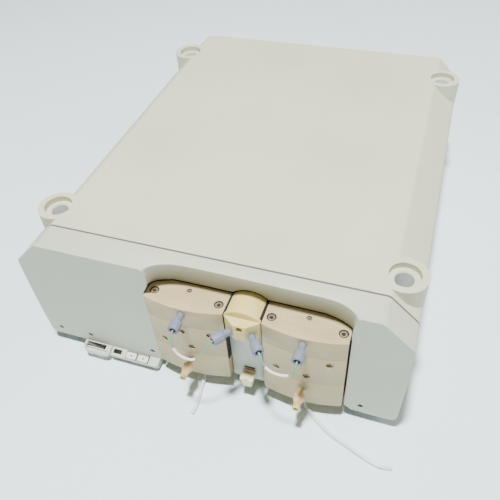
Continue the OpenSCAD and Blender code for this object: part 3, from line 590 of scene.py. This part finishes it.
def scoopLoop(t, grow):
    # plan of the scoop at a share t of its drop, grown sideways for the rounded lip
    upper = smoothPath([(x, y, 0) for x, y in scoop["upper"]], scoop["steps"])
    lower = smoothPath([(x, y, 0) for x, y in scoop["lower"]], scoop["steps"])
    count = len(upper) - 1
    swell = math.sin(math.pi * t)
    loop = []
    for i, (a, b) in enumerate(zip(upper, lower)):
        s = i / count
        point = a.lerp(b, t)
        point.y += scoop["hollow"] * swell * math.sin(math.pi * s) ** 0.5 if 0 < s < 1 else 0
        point.x += swell * (scoop["cusp"][0] * (1 - s) ** 8 - scoop["cusp"][1] * s ** 8)
        ahead, behind = upper[min(i + 1, count)], upper[max(i - 1, 0)]
        outward = Vector((behind.y - ahead.y, ahead.x - behind.x, 0)).normalized()
        loop.append(point + outward * grow)
    ends = [Vector((p.x, scoop["front"], 0)) for p in (loop[0], loop[-1])]
    return [ends[0]] + loop + [ends[1]]


def scoopCutter():
    top, bottom, lip = topZ, scoop["bottom"], scoop["lip"]
    drop = top - bottom
    levels = [(top + 1, 0, lip)]
    for k in range(scoop["lipSteps"]):
        a = math.pi / 2 * k / scoop["lipSteps"]
        levels.append((top - lip * math.sin(a), lip * math.sin(a) / drop, lip * (1 - math.sin(
            math.acos(max(0, 1 - math.sin(a)))) if k else 1)))
    start = lip / drop
    for k in range(scoop["levels"] + 1):
        t = start + (1 - start) * k / scoop["levels"]
        levels.append((top - drop * t, t, 0))
    bm = bmesh.new()
    rings = []
    for z, t, grow in levels:
        verts = [bm.verts.new(at(p.x, p.y, z)) for p in scoopLoop(t, grow)]
        rings.append([bm.edges.new((a, b)) for a, b in zip(verts, verts[1:] + verts[:1])])
    for a, b in zip(rings, rings[1:]):
        bmesh.ops.bridge_loops(bm, edges=a + b)
    bmesh.ops.edgeloop_fill(bm, edges=rings[0])
    bmesh.ops.edgeloop_fill(bm, edges=rings[-1])
    bmesh.ops.recalc_face_normals(bm, faces=bm.faces)
    return addObject("scoop", bm)


bezelMarks = {
    "screwXs": (-156.4, -123.6, -57.2, 138.3), "screwZ": 22.0, "screwRadius": 2.7, "screwDepth": 1.5,
    "corner": (7.0, 5.5), "teeth": [(132.6, 1.2, 1.2), (136.0, 2.0, 0.9)],
}


def makeBezel():
    bezel = housingSlice(0, 0, housing["bezelDepth"], housing["bottom"])
    combine(bezel, housingSlice(housing["wall"], housing["wall"], housing["bezelDepth"] + 1,
                                housing["bottom"] - 1))
    wall = housing["wall"]
    combine(bezel, solidBox(at(bay["left"] - wall, wall / 2, housing["bottom"]),
                            at(bay["right"] + wall, housing["bezelDepth"] - 2, topZ - wall / 2)), "UNION")
    combine(bezel, solidBox(at(bay["left"], -1, housing["bottom"] - 1),
                            at(bay["right"], housing["bezelDepth"] + 1, bay["top"])))
    x, base, rise, half = bay["arch"]
    radius = (half ** 2 + rise ** 2) / (2 * rise)
    middle = base + rise - radius
    combine(bezel, solidRod(at(x, -1, middle), at(x, housing["bezelDepth"] + 1, middle),
                            radius + bay["archGap"], 160))
    combine(bezel, scoopCutter())
    for x in bezelMarks["screwXs"]:
        z = bezelMarks["screwZ"]
        combine(bezel, solidRod(at(x, -1, z), at(x, bezelMarks["screwDepth"], z),
                                bezelMarks["screwRadius"], 40))
    width, height = bezelMarks["corner"]
    combine(bezel, prism([at(bay["right"] - 1, -1, housing["bottom"] + height + 0.8),
                          at(bay["right"] + width, -1, housing["bottom"] - 0.2),
                          at(bay["right"] - 1, -1, housing["bottom"] - 0.2)], Vector((0, 5 * mm, 0))))
    for x, width, height in bezelMarks["teeth"]:
        combine(bezel, solidBox(at(x, -1, housing["bottom"] - 1),
                                at(x + width, wall + 0.2, housing["bottom"] + height)))
    bezel.name = "frontBezel"
    softEdges(bezel, 0.55, 3, 32)
    # its finish is the darker front copy of the moulding, painted shade
    wear(bezel, finish["front"], ["front_bezel"])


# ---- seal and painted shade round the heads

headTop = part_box("outlet_block_a")[1].z / mm
sides = {node: [corner.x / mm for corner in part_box(node)]
         for node in ("outlet_block_a", "outlet_block_b", "centre_web")}
slits = {
    # how much each head gives up at its left and right side
    "a": (0.0, 0.3), "b": (0.3, 0.7),
    "seen": 0.3, "clear": 0.06, "overArch": 0.15, "low": 46.0, "sunk": 0.7,
    "ledgeFront": 0.6, "front": 2.6, "innerFront": -1.9, "back": 24.0,
}


def makeBaySealAndShade():
    # black seal along the scoop's lower edge and over the arch, and black boxes in the slits round the
    # heads as painted shade of those gaps
    gap, low = slits["clear"], headTop + slits["clear"]
    front, back = slits["ledgeFront"], slits["back"]
    ledge = solidBox(at(bay["left"] + 0.1, front, low), at(bay["right"] - 0.1, back, bay["top"] - 0.05))
    rim = [at(p.x, p.y, low - 2) for p in scoopLoop(1, -slits["seen"])]
    combine(ledge, prism(rim, Vector((0, 0, 0.006))))
    x, base, rise, half = bay["arch"]
    radius = (half ** 2 + rise ** 2) / (2 * rise)
    middle = base + rise - radius
    start, end = at(x, front, middle), at(x, back, middle)
    past, inside = Vector((0, 0.003, 0)), radius + slits["overArch"]
    combine(ledge, solidRod(start - past, end + past, inside, 160))
    arch = solidRod(start, end, radius + bay["archGap"] - 0.05, 160)
    combine(arch, solidRod(start - past, end + past, inside, 160))
    combine(arch, solidBox(at(x - 40, -1, middle - 60), at(x + 40, 30, low + 0.6)))
    combine(arch, scoopCutter())
    combine(ledge, arch, "UNION")
    # black boxes that paint the shade in the slits beside each head
    slitShadeBoxes = [
        (bay["left"], sides["outlet_block_a"][0] + slits["a"][0], slits["front"]),
        (sides["outlet_block_a"][1] - slits["a"][1], sides["centre_web"][0], slits["innerFront"]),
        (sides["centre_web"][1], sides["outlet_block_b"][0] + slits["b"][0], slits["innerFront"]),
        (sides["outlet_block_b"][1] - slits["b"][1], bay["right"], slits["front"]),
    ]
    bm = bmesh.new()
    bm.from_mesh(ledge.data)
    bpy.data.objects.remove(ledge)
    for left, right, slitFront in slitShadeBoxes:
        addBox(bm, at(left + gap, slitFront, slits["low"]), at(right - gap, back, headTop - slits["sunk"]))
    wear(addObject("baySealAndShade", bm), finish["rubber"])


makeTopCover()
makeSeamTongue()
makePostLiners()
makeBezel()
makeBaySealAndShade()
print("housing moulded")

# ---- pump heads and centre block


def makeHeads():
    for letter in "ab":
        left, right = sides["outlet_block_" + letter]
        trims = [(left + slits[letter][0], -1), (right - slits[letter][1], 1)]
        for layer in ("outlet_block", "chamber_block", "inlet_block"):
            node = layer + "_" + letter
            cuts = [cut for cut, share in zip(trims, slits[letter]) if share]
            piece = softCopy(node, layer.replace("_b", "B") + letter.upper(), 0.22, 3, trims=cuts)
            wear(piece, finish["head"], [node])
    for node, name, width, look, slot in (
            ("cap_screws", "capScrews", 0.25, "screw", "screw_steel"),
            ("bleed_screws", "bleedScrews", 0.15, "screw", "screw_steel"),
            ("chamber_screws", "chamberScrews", 0.2, "screw", "screw_steel"),
            ("centre_block", "centreBlock", 0.3, "cream", "cream"),
            ("centre_web", "centreWeb", 0.4, "web", "panel"),
            # housing screws in darkened steel, painted shade of their holes
            ("housing_screws", "housingScrews", 0.25, "holeShadeScrew", "screw_steel")):
        wear(softCopy(node, name, width, 3), finish[look], [node])


ports = {
    "headFront": -7.5, "outletZ": 102.0, "centreZ": 95.0, "inletZ": 37.0, "yaw": 38,
    "centre": {-1: (28.907, -6.8), 1: (47.093, -6.8)},
}


def headMiddle(letter):
    low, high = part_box("outlet_block_" + letter)
    return (low.x + high.x) / 2 / mm


def portPlaces(kind):
    # place and yaw of every fitting of one kind
    places = []
    for side, letter in ((-1, "a"), (1, "b")):
        places.append((at(headMiddle(letter), ports["headFront"], ports[kind + "Z"]), 0))
        if kind == "outlet":
            places.append((at(*ports["centre"][side], ports["centreZ"]), side * ports["yaw"]))
    return places


def pointForward(place, yaw=0):
    return (Matrix.Translation(place) @ Matrix.Rotation(math.radians(yaw), 4, "Z")
            @ Matrix.Rotation(math.pi / 2, 4, "X"))


topScrews = {
    # across the head, back from the front, ring radii, depth and radius of the socket's shade
    "cap": (28.5, 6.0, 2.95, 3.98, 0.35, 1.75),
    "bleed": (0.0, 13.0, 1.75, 2.28, 0.5, 0.8),
}
chamberScrews = {
    "places": [(-22.4, 59), (-2.7, 78.8), (3.7, 59), (21.6, 78.8)],
    # ring radii, depth and radius of the socket's shade
    "bulge": 5.0, "ring": (2.5, 2.97, 1.0, 1.2), "hexDrop": 0.8,
}
shade = {"thick": 0.3, "topHexDrop": 0.35}


def addHex(bm, radius, place):
    bmesh.ops.create_cone(
        bm, cap_ends=True, segments=6, radius1=radius * mm, radius2=radius * mm,
        depth=shade["thick"] * mm, matrix=Matrix.Translation(place))


def ringProfile(inner, outer, low, high):
    return [(inner, low), (outer, low), (outer, high), (inner, high), (inner, low)]


def makeScrewShade():
    # dark rings in the counterbores and dark sockets in the screws of the heads
    bm = bmesh.new()
    for letter in "ab":
        middle = headMiddle(letter)
        for across, back, inner, outer, sunk, hexRadius in topScrews.values():
            for side in ((-1, 1) if across else (0,)):
                top = headTop - sunk
                ring = bmesh.new()
                spinProfile(ring, ringProfile(inner, outer, top - shade["thick"], top), 48)
                bmesh.ops.translate(ring, verts=ring.verts, vec=at(middle + side * across, back, 0))
                absorb(bm, ring)
                plug = bmesh.new()
                hexTop = headTop - shade["topHexDrop"] - sunk
                addHex(plug, hexRadius, at(middle + side * across, back, hexTop))
                absorb(bm, plug)
        low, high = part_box("outlet_block_" + letter)
        inner, outer, sunk, hexRadius = chamberScrews["ring"]
        for across, up in chamberScrews["places"]:
            share = 2 * across / (high.x - low.x) * mm
            surface = ports["headFront"] + chamberScrews["bulge"] * share ** 2
            ring = bmesh.new()
            spinProfile(ring, ringProfile(inner, outer, -shade["thick"], 0), 40)
            addHex(ring, hexRadius, (0, 0, -chamberScrews["hexDrop"] * mm))
            bmesh.ops.transform(ring, matrix=pointForward(at(middle + across, surface + sunk, up)),
                                verts=ring.verts)
            absorb(bm, ring)
    wear(addObject("screwShade", bm), finish["black"])


outletFitting = {
    # (radius, height) from the threaded end to the tube's mouth
    "kind": "outlet",
    "profile": [(0, -6), (3.1, -6), (3.1, 0.2), (3.15, 0.6), (3.15, 5.6), (3.5, 6.1), (3.9, 6.4),
                (4.5, 7.4), (4.72, 8.2), (4.78, 15.4), (4.6, 16.2), (4.2, 16.5), (3.1, 16.5),
                (2.75, 16.2), (2.6, 15.6), (2.5, 13.2), (0.85, 12.6), (0, 12.6)],
    "flutes": 10, "fluteDepth": 0.035, "fluteSpan": (7.3, 15.8), "steps": 80,
    # black ring round the tube inside the mouth, painted shade of the hollow
    "mouth": [(0.86, 13.4), (2.45, 13.4), (2.45, 14.9), (0.86, 14.9), (0.86, 13.4)],
}
inletFitting = {
    "kind": "inlet",
    "profile": [(0, -7), (2.6, -7), (2.6, 3.6), (2.75, 4.2), (3.6, 4.6), (4.25, 5.4), (4.5, 6.6),
                (4.55, 8.2), (4.5, 9.8), (4.2, 11.2), (3.7, 12.2), (3.3, 12.7), (3.2, 13.2),
                (3.2, 18.8), (3.0, 19.4), (2.6, 19.5), (2.0, 19.5), (1.8, 19.2), (1.8, 10), (0, 10)],
    "steps": 56,
    # black plug deep in the bore, painted shade
    "mouth": [(0, 12.0), (1.78, 12.0), (1.78, 16.6), (0, 16.6)],
}


def flute(bm, setup):
    # shallow lengthwise finger grooves
    low, high = setup["fluteSpan"]
    for vert in bm.verts:
        radius = math.hypot(vert.co.x, vert.co.y)
        if low * mm < vert.co.z < high * mm and radius > 4 * mm:
            turn = math.atan2(vert.co.y, vert.co.x) * setup["flutes"]
            dip = max(0, math.cos(turn)) * setup["fluteDepth"]
            vert.co.x *= 1 - dip
            vert.co.y *= 1 - dip


def addTurned(bm, profile, steps, place, yaw, grooves=None):
    part = bmesh.new()
    spinProfile(part, profile, steps)
    if grooves:
        flute(part, grooves)
    bmesh.ops.transform(part, matrix=pointForward(place, yaw), verts=part.verts)
    absorb(bm, part)


def makeFittings(setup, name, look):
    bm = bmesh.new()
    grooves = setup if "flutes" in setup else None
    for place, yaw in portPlaces(setup["kind"]):
        addTurned(bm, setup["profile"], setup["steps"], place, yaw, grooves)
    piece = addObject(name, bm)
    smooth(piece, 35)
    wear(piece, finish[look], [setup["kind"] + "_fittings"])


def makeMouthShade():
    # dark depth behind the mouths of the fittings
    bm = bmesh.new()
    for setup in (outletFitting, inletFitting):
        for place, yaw in portPlaces(setup["kind"]):
            addTurned(bm, setup["mouth"], 40, place, yaw)
    wear(addObject("mouthShade", bm), finish["black"])


makeHeads()
makeScrewShade()
makeFittings(outletFitting, "outletFittings", "greyFitting")
makeFittings(inletFitting, "inletFittings", "tanFitting")
makeMouthShade()
print("heads and fittings made")

# ---- controls under the left panel

strip = {"x0": -131.5, "x1": -51.0, "front": -8.5, "low": 4.0, "under": 6.9, "lipZ": 9.2, "topZ": 11.6,
         "back": 20.0, "corner": 3.4, "ledge": -5.9, "ledgeEnd": -100.8}
keys = {"left": -80.0, "right": -67.5, "width": 10.6, "front": -7.6, "back": -1.4, "base": 7.4,
        "proud": 0.4, "gap": 0.35, "slit": 1.0, "well": 6.2, "dot": 0.6}
webSlot = {"x": (33.1, 43.9), "z": (27.6, 33.9), "sunk": 0.5, "back": 7.6}
switchWell = {"x": (-128.7, -108.3), "y": (-5.1, -1.0), "floor": 5.2, "wall": 0.15}


def stripSlopeZ(y):
    share = (y - strip["front"]) / (-0.3 - strip["front"])
    return strip["lipZ"] + share * (strip["topZ"] - strip["lipZ"])


def makeStrip():
    x0, x1, front, back = (strip[key] for key in ("x0", "x1", "front", "back"))
    outline = [(back, strip["low"]), (front + 1.9, strip["low"]), (front, strip["under"]),
               (front, strip["lipZ"]), (-0.3, strip["topZ"]), (back, strip["topZ"])]
    piece = prism([at(x0, y, z) for y, z in outline], Vector(((x1 - x0) * mm, 0, 0)))
    r = strip["corner"]
    turns = [math.pi / 2 * k / 8 for k in range(9)]
    plan = [(x0 - 1, back + 1), (x0 - 1, front - 1)]
    plan += [(x1 - r - 1, front - 1), (x1 - r - 1, front)]
    plan += [(x1 - r + r * math.sin(a), front + r - r * math.cos(a)) for a in turns] + [(x1, back + 1)]
    combine(piece, prism([at(x, y, 0) for x, y in plan], Vector((0, 0, 0.02))), "INTERSECT")
    for x in (keys["left"], keys["right"]):
        half = keys["width"] / 2
        combine(piece, solidBox(at(x - half - keys["gap"], keys["front"] - keys["gap"], keys["well"]),
                                at(x + half + keys["slit"], -0.35, 14)))
    combine(piece, solidBox(at(-99.3, -5.9, 8), at(-90.7, -1.7, 14)))
    (left, right), (near, far) = switchWell["x"], switchWell["y"]
    combine(piece, solidBox(at(left, near, switchWell["floor"]), at(right, far, 14)))
    combine(piece, solidBox(at(x0 - 2, front - 1, 3), at(strip["ledgeEnd"], strip["ledge"], 14)))
    piece.name = "controlStrip"
    softEdges(piece, 0.3, 3, 30)
    wear(piece, finish["front"], ["control_strip"])


def makeWellShade():
    # black liners as painted shade at the bottom of the key slits, round the rocker and behind the web's
    # slot
    bm = bmesh.new()
    webFront = (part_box("centre_web")[0].y - frontY) / mm
    (left, right), (low, high) = webSlot["x"], webSlot["z"]
    boxes = [((left, webFront + webSlot["sunk"], low), (right, webSlot["back"], high))]
    for x in (keys["left"], keys["right"]):
        half = keys["width"] / 2
        boxes.append(((x - half - 0.3, keys["front"] - 0.3, keys["well"] + 0.02),
                      (x + half + keys["slit"] - 0.05, -0.4, keys["well"] + 0.3)))
    (left, right), (near, far) = switchWell["x"], switchWell["y"]
    floor, wall = switchWell["floor"] + 0.02, switchWell["wall"]
    boxes += [((left + 0.02, near + 0.02, floor), (right - 0.02, far - 0.02, floor + wall)),
              ((left + 0.02, near + 0.02, floor), (left + wall, far - 0.02, 9.9)),
              ((right - wall, near + 0.02, floor), (right - 0.02, far - 0.02, 9.9)),
              ((left + 0.02, far - wall, floor), (right - 0.02, far - 0.02, 11.2))]
    for start, end in boxes:
        addBox(bm, at(*start), at(*end))
    wear(addObject("wellShade", bm), finish["black"])


def makeKey(side):
    # cap that follows the slope of the strip, with a small dimple
    x, half = keys[side], keys["width"] / 2
    bm = bmesh.new()
    front, back = keys["front"], keys["back"]
    outline = [(front, keys["base"]), (back, keys["base"]), (back, stripSlopeZ(back) + keys["proud"]),
               (front, stripSlopeZ(front) + keys["proud"])]
    verts = [bm.verts.new(at(x - half, y, z)) for y, z in outline]
    bm.faces.new(verts)
    pull(bm, (2 * half * mm, 0, 0))
    upright = [e for e in bm.edges if abs(e.verts[0].co.x - e.verts[1].co.x) < 1e-6
               and abs(e.verts[0].co.y - e.verts[1].co.y) < 1e-6]
    bmesh.ops.bevel(bm, geom=upright, offset=1.3 * mm, offset_type="OFFSET", segments=5, profile=0.5,
                    affect="EDGES", material=-1)
    piece = addObject(side + "Key", bm)
    middleY = (front + back) / 2
    z = stripSlopeZ(middleY) + keys["proud"]
    combine(piece, solidRod(at(x, middleY, z - 0.8), at(x, middleY, z + 1), 0.75, 24))
    softEdges(piece, 0.25, 3, 30)
    wear(piece, finish["key"], [side + "_key"], "key_" + side)
    dot = solidRod(at(x, middleY, z - 0.75), at(x, middleY, z - 0.2), keys["dot"], 24)
    dot.name = side + "KeyDot"
    wear(dot, finish["black"], (), "key_" + side)


hood = {"x": (-129.1, -101.3), "front": -11.7, "back": -6.0, "z": (6.6, 13.4), "corner": 5.0,
        "wall": 1.2, "edge": 1.9, "earLow": 11.9, "earBack": -0.4}


def makeHood():
    # round-cornered tray of milky acrylic with two ears back to the panel
    (x0, x1), (low, high), r = hood["x"], hood["z"], hood["corner"]
    front, back = hood["front"], hood["back"]
    turns = [math.pi / 2 * k / 10 for k in range(11)]
    plan = [(x0, back)] + [(x0 + r - r * math.cos(a), front + r - r * math.sin(a)) for a in turns]
    plan += [(x1 - r + r * math.sin(a), front + r - r * math.cos(a)) for a in turns] + [(x1, back)]
    bm = bmesh.new()
    bm.faces.new([bm.verts.new(at(x, y, low)) for x, y in plan])
    pull(bm, (0, 0, (high - low) * mm))
    opened = [f for f in bm.faces if f.normal.z > 0.9 or f.normal.y > 0.9]
    bmesh.ops.delete(bm, geom=opened, context="FACES")
    floorZ = at(0, 0, low).z + 1e-6
    rim = [e for e in bm.edges if len(e.link_faces) == 2 and all(v.co.z < floorZ for v in e.verts)]
    bmesh.ops.bevel(bm, geom=rim, offset=hood["edge"] * mm, offset_type="OFFSET", segments=5,
                    profile=0.5, affect="EDGES", material=-1)
    piece = addObject("splashHood", bm)
    step = piece.modifiers.new("wall", "SOLIDIFY")
    step.thickness = hood["wall"] * mm
    step.offset = -1
    step.use_even_offset = True
    settle(piece)
    for start, end in ((x0, x0 + hood["wall"]), (x1 - hood["wall"], x1)):
        ear = solidBox(at(start, back - 0.6, hood["earLow"]), at(end, hood["earBack"], high))
        combine(piece, ear, "UNION")
    softEdges(piece, 0.25, 2, 40)
    wear(piece, finish["hood"], ["splash_hood"])


lever = {"x": 38.5, "z": 23.0, "low": (-5.9, -9.0, -8.0), "high": (5.9, 3.2, 5.0), "shaft": 4.0}


def makeLever():
    # tapered tab with a scooped face and a shallow notch in its top
    x, z = lever["x"], lever["z"]
    (x0, y0, z0), (x1, y1, z1) = lever["low"], lever["high"]
    low, high = at(x + x0, y0, z + z0), at(x + x1, y1, z + z1)
    bm = bmesh.new()
    addBox(bm, low, high)
    for vert in bm.verts:
        if vert.co.z < (low.z + high.z) / 2:
            vert.co.x += (at(x, 0, 0).x - vert.co.x) * 0.22
            if vert.co.y < (low.y + high.y) / 2:
                vert.co.y += 2.2 * mm
    upright = [e for e in bm.edges if abs(e.verts[0].co.z - e.verts[1].co.z) > 5 * mm
               and all(v.co.y < (low.y + high.y) / 2 for v in e.verts)]
    foot = [e for e in bm.edges if all(v.co.z < low.z + 1e-5 for v in e.verts)]
    bmesh.ops.bevel(bm, geom=upright + foot, offset=2.4 * mm, offset_type="OFFSET", segments=5,
                    profile=0.5, affect="EDGES", material=-1)
    piece = addObject("purgeLever", bm)
    combine(piece, solidRod(at(x, y0 - 3.6, z + z0 + 2.2), at(x, y0 - 2.2, z + z1 + 2), 5.2, 64))
    combine(piece, solidBox(at(x - 3.7, -1.6, z + 3.6), at(x + 3.7, 1.4, z + z1 + 1)))
    combine(piece, solidRod(at(x, 3, z), at(x, 14, z), lever["shaft"], 48), "UNION")
    softEdges(piece, 0.5, 3, 32)
    wear(piece, finish["lever"], ["purge_lever"], "lever")


makeStrip()
makeWellShade()
makeKey("left")
makeKey("right")
makeHood()
makeLever()
wear(softCopy("status_window", "statusWindow", 0.2), finish["window"], ["status_window"])
wear(softCopy("power_rocker", "powerRocker", 0.25), finish["black"],
     ["power_rocker"], "rocker")
print("controls made")

# ---- feet and rear

foot = {
    "profile": [(0, 3.6), (4.5, 3.6), (4.5, 0.5), (5.0, 0), (9.6, 0), (10.6, 0.4), (11.5, 1.3),
                (12.0, 2.4), (12.0, 12.0), (0, 12.0)],
}


def makeFeet():
    bm = bmesh.new()
    for side in (-1, 1):
        for y in post["ys"]:
            part = bmesh.new()
            spinProfile(part, foot["profile"], 56)
            bmesh.ops.translate(part, verts=part.verts, vec=at(side * post["x"], y, 0))
            absorb(bm, part)
    piece = addObject("rubberFeet", bm)
    smooth(piece, 35)
    wear(piece, finish["rubber"], ["rubber_feet"])


makeFeet()
for node, name, width, look, slot, body in (
        ("rear_panel", "rearPanel", 0.3, "rearPanel", "panel", "root"),
        ("base_pan", "basePan", 0.3, "sheet", "sheet_steel", "root"),
        ("fan_frame", "fanFrame", 0.4, "black", "black_plastic", "root"),
        ("power_inlet", "powerInlet", 0.3, "black", "black_plastic", "root"),
        ("rear_connectors", "rearConnectors", 0.25, "nickel", "connector_metal", "root"),
        ("fuse_drawer", "fuseDrawer", 0.3, "black", "black_plastic", "fuse"),
        ("fan_rotor", "fanRotor", 0.2, "black", "black_plastic", "fan")):
    wear(softCopy(node, name, width), finish[look], [node], body)
print("feet and rear made")

# ---- inner pieces keep their CAD shape

innerLooks = {
    "steel": ["transducer", "check_valves", "shaft_bearings", "return_springs", "camshaft_a",
              "camshaft_b", "motor_pulley_a", "motor_pulley_b", "carrier_a1", "carrier_a2",
              "carrier_b1", "carrier_b2"],
    "plate": ["head_plate", "cam_frames"],
    "black": ["stepper_motors"],
    "rubber": ["drive_belts", "rinse_barbs"],
    "board": ["control_board"],
    "sheet": ["power_supply"],
    "seal": ["piston_seals"],
    "sapphire": ["piston_a1", "piston_a2", "piston_b1", "piston_b2"],
}
for look, names in innerLooks.items():
    for node in names:
        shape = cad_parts[node]
        shape.data.materials.clear()
        shape.data.materials.append(finish[look])

# ---- bench and studio light

studio = {
    "bench": paint(228, 244, 250),
    "benchShade": paint(222, 239, 245),
    "sky": (1.0, 0.87, 0.68, 1), "skyPower": 0.27,
    "lamps": [
        # place, aim, size, watts, colour
        ((0.0, -0.42, 2.2), (0.02, -0.14, 0.05), 0.2, 128, (0.98, 1.0, 0.98)),
        ((1.5, 0.3, 1.3), (0.0, 0.0, 0.05), 1.2, 13, (1.0, 0.97, 0.92)),
    ],
}


def makeStudio(setup):
    bm = bmesh.new()
    bmesh.ops.create_grid(bm, x_segments=2, y_segments=2, size=4)
    bench = addObject("bench", bm)
    f = Finish("paleBench")
    cloud = f.span(f.noise(3, 2), 0.4, 0.6, 0, 0.3)
    f.drive("Base Color", f.blend(cloud, setup["bench"], setup["benchShade"]))
    f.drive("Roughness", 0.6)
    bench.data.materials.append(f.material)
    for i, (place, aim, size, watts, colour) in enumerate(setup["lamps"]):
        data = bpy.data.lights.new("softLamp%d" % i, "AREA")
        data.shape = "DISK"
        data.size = size
        data.energy = watts
        data.color = colour
        lamp = bpy.data.objects.new("softLamp%d" % i, data)
        bpy.context.scene.collection.objects.link(lamp)
        lamp.location = place
        lamp.rotation_euler = (Vector(aim) - Vector(place)).to_track_quat("-Z", "Y").to_euler()
    world = bpy.data.worlds.new("studio")
    world.use_nodes = True
    world.node_tree.nodes["Background"].inputs[0].default_value = setup["sky"]
    world.node_tree.nodes["Background"].inputs[1].default_value = setup["skyPower"]
    bpy.context.scene.world = world


makeStudio(studio)
print("studio lit")
